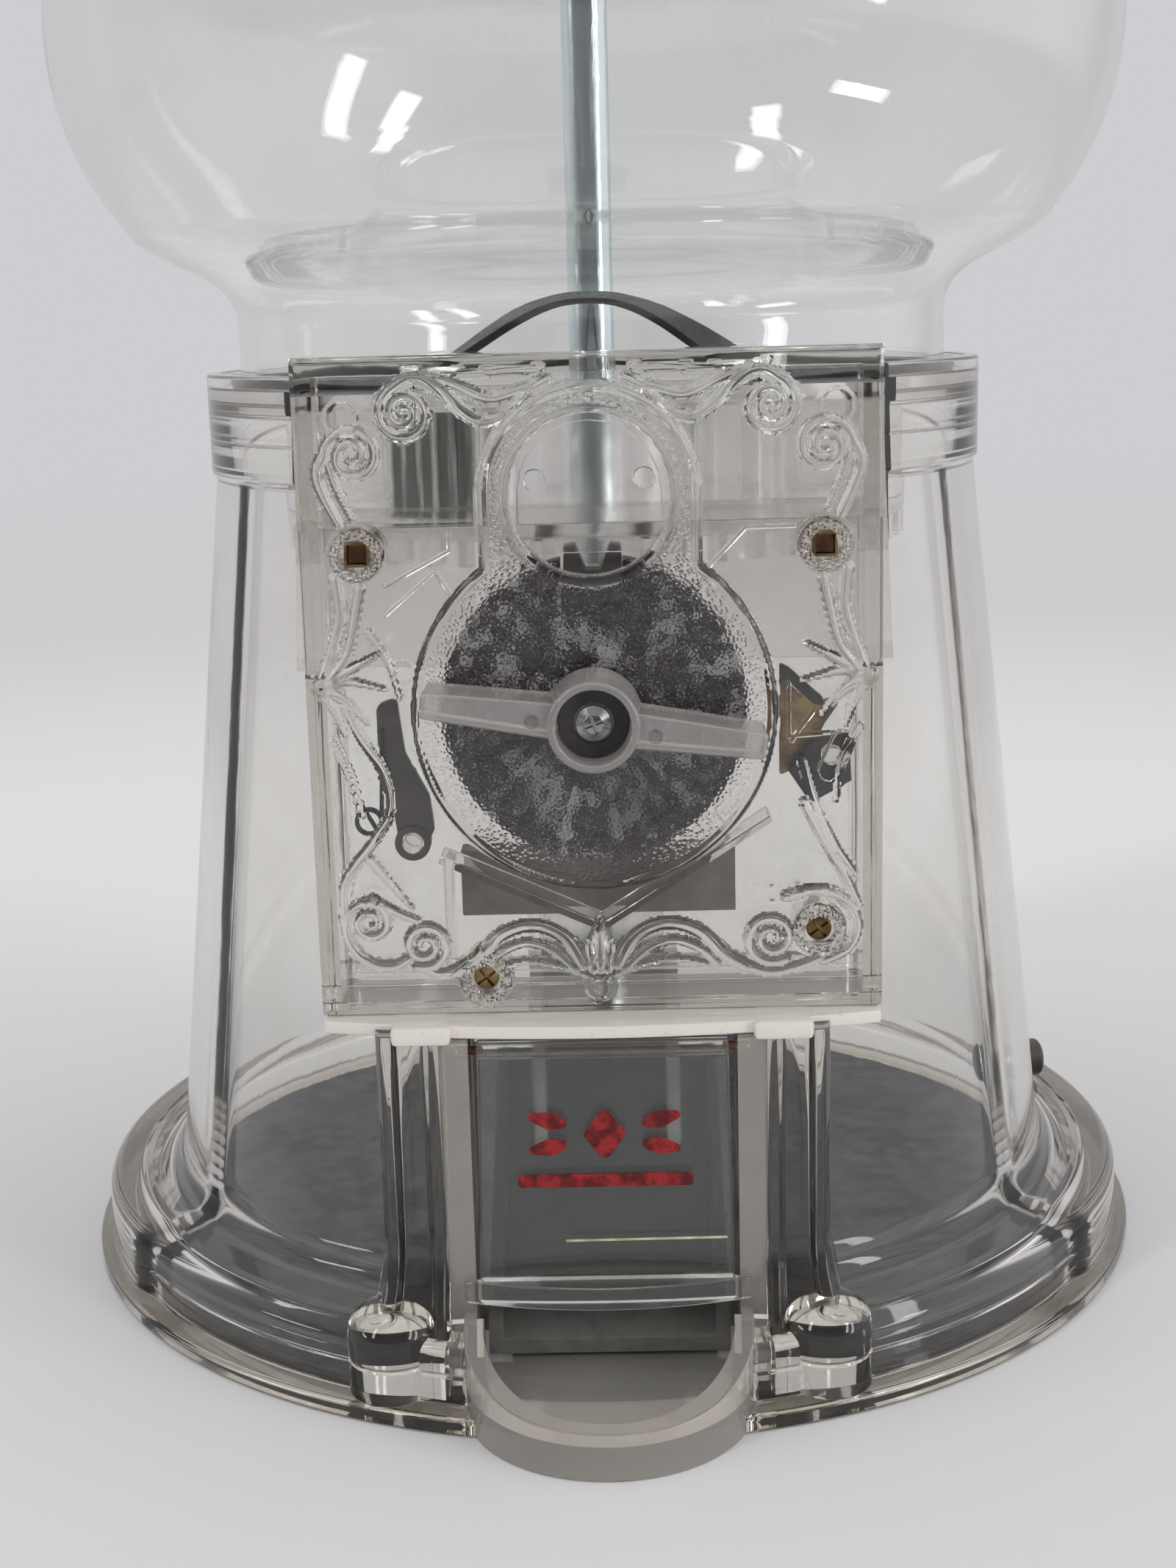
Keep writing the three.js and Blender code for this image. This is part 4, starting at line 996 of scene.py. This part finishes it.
def coin_wheel():
    low, high = box_mm("coin_wheel")
    front, back, r = low.y, high.y, high.x
    face = [(AXLE_BORE_R, front + 0.9, 0.2), (9, front + 0.9), (9.6, front + 0.1, 0.3), (11.4, front + 0.1, 0.3),
            (12, front + 1.1, 0.3), (22.6, front + 1.1, 0.3), (23.2, front, 0.3), (r, front, 0.5), (r, back, 0.5),
            (AXLE_BORE_R, back, 0.2)]
    wheel = turned("coin_disc", fillet(face, 3), "Y", AXLE, 120)
    ribs = []
    count = 36
    for k in range(count):
        a = 2 * math.pi * (k + 0.5) / count
        c, s = math.cos(a), math.sin(a)
        ribs.append(bar("rib", (11.6 * c, AXLE_Z + 11.6 * s), (23 * c, AXLE_Z + 23 * s), 0.9, front + 0.2, front + 1.6,
                        0.2))
    union(wheel, *ribs)
    return cut(wheel, block("notch", (-5.5, 5.5), (-90, -75), (AXLE_Z + 16, AXLE_Z + 30)))


piece(handle(), FROSTED, "handle_and_wheel", ["handle"])
piece(screw_head(), STEEL, "handle_and_wheel", ["handle_screw"])
WASHER = [(3.5, -100.9, 0.2), (6.15, -100.9, 0.25), (6.15, -100.05, 0.2), (3.5, -100.05, 0.2)]
piece(turned("recess_washer", fillet(WASHER, 3), "Y", AXLE, 64), DARK, "handle_and_wheel")
piece(coin_wheel(), MOTTLED_PAINTED_SPARKLE, "handle_and_wheel", ["coin_wheel"])


# ---------------------------------------------------------------- pawls, spring and gauge

def left_pawl():
    arm = [(-36.6, 104.6, 1), (-37.6, 112, 4), (-39.4, 121, 6), (-39.4, 128.2, 1.6), (-35.8, 129.4, 0.9),
           (-34.6, 119, 4), (-30.6, 111.4, 2), (-29.8, 105, 0.8), (-31.8, 101, 2), (-36, 100.6, 2)]
    obj = prism("left_catch_arm", fillet(arm, 4), "Y", -81, -78.4, 0.35)
    union(obj, rod("boss", 3.3, "Y", -82, -78.4, LEFT_PIVOT, 40, 0.4))
    return cut(obj, rod("bore", 2.1, "Y", -90, -70, LEFT_PIVOT, 24))


def gauge():
    plate = [(33.3, 113, 0.4), (33.3, 131.6, 0.4), (37, 128.2), (40.4, 126.6), (43.6, 127.4, 0.6), (44, 126, 0.6),
             (41.6, 122.6), (39.4, 118.6), (36.4, 114.4, 1)]
    return prism("brass_sheet", fillet(plate, 3), "Y", -77.9, -76.7, 0.15)


def hook():
    line = [(33.3, 134, 0.3), (35, 133.2), (41, 127.6, 0.5), (41.4, 126, 0.4), (39.4, 126.4), (35, 130.4),
            (33.3, 131.2)]
    return prism("gauge_hook", fillet(line, 2), "Y", -79.4, -78, 0.15)


def spring():
    """Two turns of black wire round a post, with a bent leg from each end."""
    turns = [(-41.6 + 2.3 * math.cos(a), -81.2 + 0.28 * a / math.pi, 106.7 + 2.3 * math.sin(a))
             for a in np.linspace(0, 3.7 * math.pi, 60)]
    near = [(-39.1, -81.3, 123.4), (-38.6, -81.3, 124.2), (-38.9, -81.3, 115.0), (-39.2, -81.25, 109.5)]
    far = curve_through([turns[-1], (-43.2, -80.0, 110.2), (-44.6, -79.9, 114), (-45.8, -79.9, 117.4)], 4)
    return tube("catch_spring", near + turns + [tuple(p) for p in far[1:]], 0.42)


piece(left_pawl(), UMBER, "left_catch", ["left_pawl"])
piece(gauge(), BRASS, "body", ["brass_gauge"])
piece(hook(), DARK, "body", ["brass_gauge"])
piece(spring(), SPRING, "body", ["left_pawl_spring"], angle=80)


# ---------------------------------------------------------------- dispensing wheel

def pocket_wheel():
    low, high = box_mm("dispensing_wheel")
    r = high.x
    rim = []
    for k in range(800):
        a = 2 * math.pi * k / 800
        across = math.sin(a)
        fluted = float(step(across, -0.61, -0.57) * step(-across, 0.29, 0.33)) if math.cos(a) > 0 else 0.0
        radius = r - 0.5 * (1 - math.cos(100 * a)) * fluted
        rim.append((radius * across, -radius * math.cos(a)))
    wheel = prism("pocket_wheel", rim, "Z", low.z, high.z - 3)
    hub = [(0, low.z + 4), (14, low.z + 4), (14, high.z - 3, 1), (12, high.z, 1), (0, high.z)]
    union(wheel, turned("hub", fillet(hub, 3, closed=False), turns=64))
    pockets = [rod("pocket", 10.5, "Z", low.z - 1, high.z + 1,
                   (40 * math.sin(2 * math.pi * (i + 0.5) / 5), -40 * math.cos(2 * math.pi * (i + 0.5) / 5)), 56)
               for i in range(5)]
    return cut(wheel, rod("bore", ROD_BORE_R, "Z", low.z - 1, high.z + 1, turns=40), *pockets)


piece(pocket_wheel(), WHEEL, "dispenser", ["dispensing_wheel"])


# ---------------------------------------------------------------- door

def flap_door():
    low, _ = box_mm("chute_door")
    hinge_y, hinge_z = HINGE
    sheet = [(-23.4, low.z + 2.6), (23.4, low.z + 2.6), (22.6, hinge_z), (-22.6, hinge_z)]
    door = prism("flap_door", sheet, "Y", hinge_y - 1.2, hinge_y + 1.2, 0.5)
    front = [(x, -102.2 + 4.2 * (x / 26.3) ** 2) for x in np.linspace(26.3, -26.3, 31)]
    lip = [(-26.3, -96.8), (-23.2, -96.8), (-23.2, -95.2), (23.2, -95.2), (23.2, -96.8), (26.3, -96.8)] + front
    union(door, rod("barrel", 2, "X", -22.6, 22.6, HINGE, 32, 0.4), prism("lip", lip, "Z", low.z, low.z + 4.4, 0.8, 3))
    return cut(door, rod("bore", 1.05, "X", -30, 30, HINGE, 16))


def ornament():
    """A generic red ornament: a lozenge between tapering leaves over a plain bar."""
    def leaf(start, end, wide):
        a, b = Vector(start), Vector(end)
        side = Vector((a.y - b.y, b.x - a.x)).normalized() * wide
        mid = a.lerp(b, 0.4)
        return curve_loop([tuple(a), tuple(mid + side), tuple(b), tuple(mid - side)])

    def curve_loop(points):
        return fillet([(*p, 1.2) for p in points], 4)

    shapes = [curve_loop([(0, 56.4), (-4.0, 51), (0, 45.6), (4.0, 51)])]
    for s in (-1, 1):
        shapes.append(leaf((s * 5.2, 52.4), (s * 16.4, 55.4), 1.7))
        shapes.append(leaf((s * 5.2, 49.4), (s * 16.4, 47.6), 1.7))
    shapes.append(fillet([(-16, 43.4, 0.8), (16, 43.4, 0.8), (16, 40.9, 0.8), (-16, 40.9, 0.8)], 3))
    parts = [prism("ornament", shape, "Y", -95.78, -95.55) for shape in shapes]
    return union(parts[0], *parts[1:])


piece(flap_door(), DOOR_PLASTIC, "door", ["chute_door"])
mark = ornament()
mark.name = "door_ornament"
piece(mark, RED, "door")
piece(bar("door_scratch", (-7.5, 30.4), (22, 30.6), 0.4, -95.72, -95.55, 0), STRAW, "door")
piece(union(rod("hinge_pin", 0.8, "X", -26, -21.6, HINGE, 16, 0.2),
            rod("pin", 0.8, "X", 21.6, 26, HINGE, 16, 0.2)), RUST, "body", ["door_pin"])


# ---------------------------------------------------------------- rod, globe, gasket, lid and knob

ROD_TOP = box_mm("centre_rod")[1].z


def threaded_rod():
    r, core, pitch = 4.76, 4.25, 1.1
    z = 340.0
    loop = [(0, PLATE_POCKET), (r, PLATE_POCKET, 0.4), (r, z)]
    while z < ROD_TOP - 1.4:
        loop += [(r, z), (core, z + 0.5), (r, z + 1.0)]
        z += pitch
    loop += [(4.4, ROD_TOP, 0.4), (0, ROD_TOP)]
    return turned("rod_bar", fillet(loop, 2, closed=False), turns=48)


piece(threaded_rod(), ZINC, "body", ["centre_rod"], angle=40)

GLOBE_R = box_mm("globe")[1].x
GLOBE_LOW, GLOBE_HIGH = box_mm("globe")[0].z, box_mm("globe")[1].z


def globe():
    neck, mouth, wall = 73.2, 66, 2.9
    power = 2.107
    points = [(neck, GLOBE_LOW), (neck, 191), (neck, 195.4), (73.9, 199.2), (76.3, 202.5), (80.6, 205.3),
              (86, 208)]
    for angle in np.radians(np.arange(-32, 48.5, 4)):
        c = math.cos(angle) ** (2 / power)
        s = math.copysign(abs(math.sin(angle)) ** (2 / power), angle)
        points.append((GLOBE_R * c, 251.5 + (72.9 if angle < 0 else 80) * s))
    points += [(70.5, 315.4), (67.2, 319.6), (mouth, 324), (mouth, GLOBE_HIGH)]
    outside = [tuple(p) for p in curve_through(points, 4)]
    inside = inset(outside, wall)
    inside[0] = (neck - wall, GLOBE_LOW)
    inside[-1] = (mouth - wall, GLOBE_HIGH)
    return turned("glass_globe", outside + inside[::-1], turns=192)


piece(globe(), GLASS, "body", ["globe"], angle=60)


def gasket():
    """A rubber strip that lies under the globe, and stands up as an arch where it has slipped in at the front."""
    path, ups = [], []
    steps = 220
    for i in range(steps + 1):
        a = math.radians(1.5 + 357 * i / steps)
        front = abs(math.pi - a)
        inward = float(step(np.array(1.15 - front), 0, 0.4))
        lift = float(step(np.array(0.62 - front), 0, 0.6))
        r = 71.8 - 9.6 * inward - 3 * lift
        path.append((r * math.sin(a), r * math.cos(a), 184.25 + 15.6 * lift))
        lean = 0.30 * inward + 0.5 * math.exp(-((a - math.pi + 0.42) / 0.16) ** 2)
        ups.append((math.sin(a) * lean, math.cos(a) * lean, 1.0))
    section = fillet([(-3.6, -0.75, 0.3), (3.6, -0.75, 0.3), (3.6, 0.75, 0.3), (-3.6, 0.75, 0.3)], 2)
    return swept("gasket_strip", path, section, ups)


piece(gasket(), RUBBER, "body", ["globe_gasket"], angle=40)


def lid():
    r = box_mm("lid")[1].x
    seat = GLOBE_HIGH + 0.4
    outside = [(r, seat, 0.5), (r, seat + 2.6, 1), (r - 3, seat + 3.4, 1), (60, 338.8, 8), (46, 343.8, 20),
               (30, 347.4, 30), (14, 349.6, 0.5), (14, 352, 0.6), (ROD_BORE_R, 352, 0.3)]
    inside = [(ROD_BORE_R, 346.6, 0.3), (14, 346.6, 2), (30, 344.4, 20), (46, 340.8, 20), (58.4, 335.8, 5),
              (59.4, 333.2, 1), (59.4, 325.4, 0.5), (62.2, 325.4, 0.5), (62.2, seat, 0.3)]
    return turned("lid_dome", fillet(outside + inside, 5), turns=160)


def knob():
    low, high = box_mm("lid_knob")
    loop = [(0, low.z), (12, low.z, 0.5), (14, low.z + 2, 0.8), (14, high.z - 3, 0.8), (11, high.z, 1.4), (0, high.z)]
    body = turned("lid_knob_cap", fillet(loop, 4, closed=False), turns=120)
    grooves = [rod("groove", 0.55, "Z", low.z + 3, high.z - 4, (14.2 * math.cos(a), 14.2 * math.sin(a)), 10)
               for a in np.linspace(0, 2 * math.pi, 48, endpoint=False)]
    return cut(body, rod("bore", ROD_BORE_R, "Z", low.z - 1, 369, turns=32), *grooves)


piece(lid(), PLASTIC, "lid_cover", ["lid"], angle=50)
piece(knob(), STEEL, "knob", ["lid_knob"])


# ---------------------------------------------------------------- CAD nodes that stay

for node, finish in {
    "coin_carrier": INNER, "mechanism_plate": INNER, "hopper_housing": SMOKE, "hopper_floor": INNER,
    "gumball_chute": SHAFT, "chute_ramp": RAMP, "left_pawl_pin": PLASTIC, "right_pawl_pin": PLASTIC,
    "coin_block": BROWN, "right_pawl": DARK, "drive_gear": BROWN, "crown_gear": WHEEL, "spindle": STEEL,
    "spindle_washer": STEEL, "spindle_clip": SPRING, "rod_washer": STEEL, "rod_nut": STEEL,
}.items():
    kept(node, finish)


# ---------------------------------------------------------------- floor, light and camera

def floor():
    rings = [0.0, 0.2, 0.4, 0.7, 1.1, 1.6]
    verts, faces = [(0, 0, 0)], []
    turns = 64
    for r in rings[1:]:
        verts += [(x, y, 0) for x, y in circle(r / MM, turns)]
    faces += [(0, 1 + k, 1 + (k + 1) % turns) for k in range(turns)]
    for a in range(1, 1 + (len(rings) - 2) * turns, turns):
        b = a + turns
        faces += [(a + k, b + k, b + (k + 1) % turns, a + (k + 1) % turns) for k in range(turns)]
    mesh = bpy.data.meshes.new("floor")
    mesh.from_pydata((np.asarray(verts, float) * MM).tolist(), [], faces)
    obj = bpy.data.objects.new("floor", mesh)
    obj.location.z = CAD_LOW.z - 0.0002
    SCENE.collection.objects.link(obj)
    m = Mat("floor_card")
    shade = m.mix(m.noise(6, 4), (0.70, 0.70, 0.705, 1), (0.74, 0.74, 0.745, 1))
    card = m.add("BsdfPrincipled", {"Base Color": shade, "Roughness": 0.85,
                                    "Normal": m.bump(m.noise(700, 3), 0.2, 0.2)}).outputs[0]
    away = m.add("VectorMath", {0: m.place()}, operation="LENGTH").outputs["Value"]
    fade = m.between(away, 0.32, 1.1)
    surface = m.add("MixShader", {0: fade, 1: card, 2: m.add("BsdfTransparent").outputs[0]}).outputs[0]
    obj.data.materials.append(m.finish(surface))


def surroundings():
    """A pale backdrop, a dim room behind the camera, bright walls at the sides and lamps in front."""
    world = bpy.data.worlds.new("studio")
    SCENE.world = world
    world.use_nodes = True
    m = Mat("", world.node_tree)
    x, y, z = m.add("SeparateXYZ", {"Vector": m.add("TexCoord").outputs["Generated"]}).outputs
    turn = m.math("ARCTAN2", x, m.product(y, -1.0))
    rise = m.math("ARCSINE", z)
    backdrop = m.between(m.math("ABSOLUTE", turn), 1.9, 2.6)
    right = m.product(m.between(turn, 0.6, 1.05), m.below(turn, 1.85, 2.5))
    left = m.product(m.between(turn, -0.7, -1.8), m.between(turn, -2.6, -1.9))
    level = m.plus(m.product(backdrop, 0.475), 0.14)
    level = m.plus(level, m.plus(m.product(right, 0.95), m.product(left, 0.55)))
    shade = m.mix(level, (0, 0, 0, 1), (1.0, 0.99, 1.03, 1))
    shade.node.clamp_factor = False
    shade = m.mix(m.below(z, -0.16, -0.06), shade, (0.60, 0.60, 0.61, 1))
    shade = m.mix(m.between(z, 0.45, 0.80), shade, (1.0, 1.0, 1.0, 1))
    lamps = None
    for start, end, half in [((0.78, 0.14), (1.05, 0.66), 0.050), ((1.03, -0.06), (1.24, 0.48), 0.050),
                             ((-0.81, 0.30), (-0.91, 0.86), 0.060), ((-1.11, 0.19), (-1.41, 0.29), 0.040)]:
        along = (end[0] - start[0], end[1] - start[1])
        length = math.hypot(*along)
        u = m.math("SUBTRACT", turn, start[0])
        v = m.math("SUBTRACT", rise, start[1])
        t = m.plus(m.product(u, along[0] / length), m.product(v, along[1] / length))
        across = m.math("SUBTRACT", m.product(u, along[1] / length), m.product(v, along[0] / length))
        lamp = m.product(m.below(m.math("ABSOLUTE", across), half, half * 1.2), m.between(t, 0.0, 0.02),
                         m.below(t, length - 0.02, length))
        lamps = lamp if lamps is None else m.math("MAXIMUM", lamps, lamp)
    shade = m.mix(lamps, shade, (9.0, 9.0, 9.0, 1))
    m.add("OutputWorld", {"Surface": m.add("Background", {"Color": shade, "Strength": 1.0}).outputs[0]})
    world.cycles.sampling_method = "MANUAL"
    world.cycles.sample_map_resolution = 512


def camera():
    """The photograph's viewpoint: its place and angles in the CAD frame."""
    data = bpy.data.cameras.new("camera")
    data.sensor_fit = "HORIZONTAL"
    data.sensor_width = 36
    data.lens = 66.375
    data.clip_start, data.clip_end = 0.01, 50
    obj = bpy.data.objects.new("camera", data)
    SCENE.collection.objects.link(obj)
    yaw, pitch, roll = -0.019, 0.215, -0.026
    ahead = Vector((math.sin(yaw) * math.cos(pitch), math.cos(yaw) * math.cos(pitch), -math.sin(pitch)))
    right = ahead.cross(Vector((0, 0, 1))).normalized()
    up = right.cross(ahead)
    right, up = math.cos(roll) * right + math.sin(roll) * up, math.cos(roll) * up - math.sin(roll) * right
    turn = Matrix((right, up, -ahead)).transposed().to_4x4()
    place = Vector((5.685, -465.655, 196.722)) * MM
    obj.matrix_world = Matrix.Translation(place) @ turn
    SCENE.camera = obj


floor()
surroundings()
camera()

SCENE.view_settings.view_transform = "Standard"
SCENE.cycles.max_bounces = 40
SCENE.cycles.transmission_bounces = 40
SCENE.cycles.glossy_bounces = 16
SCENE.cycles.diffuse_bounces = 6
SCENE.cycles.transparent_max_bounces = 40
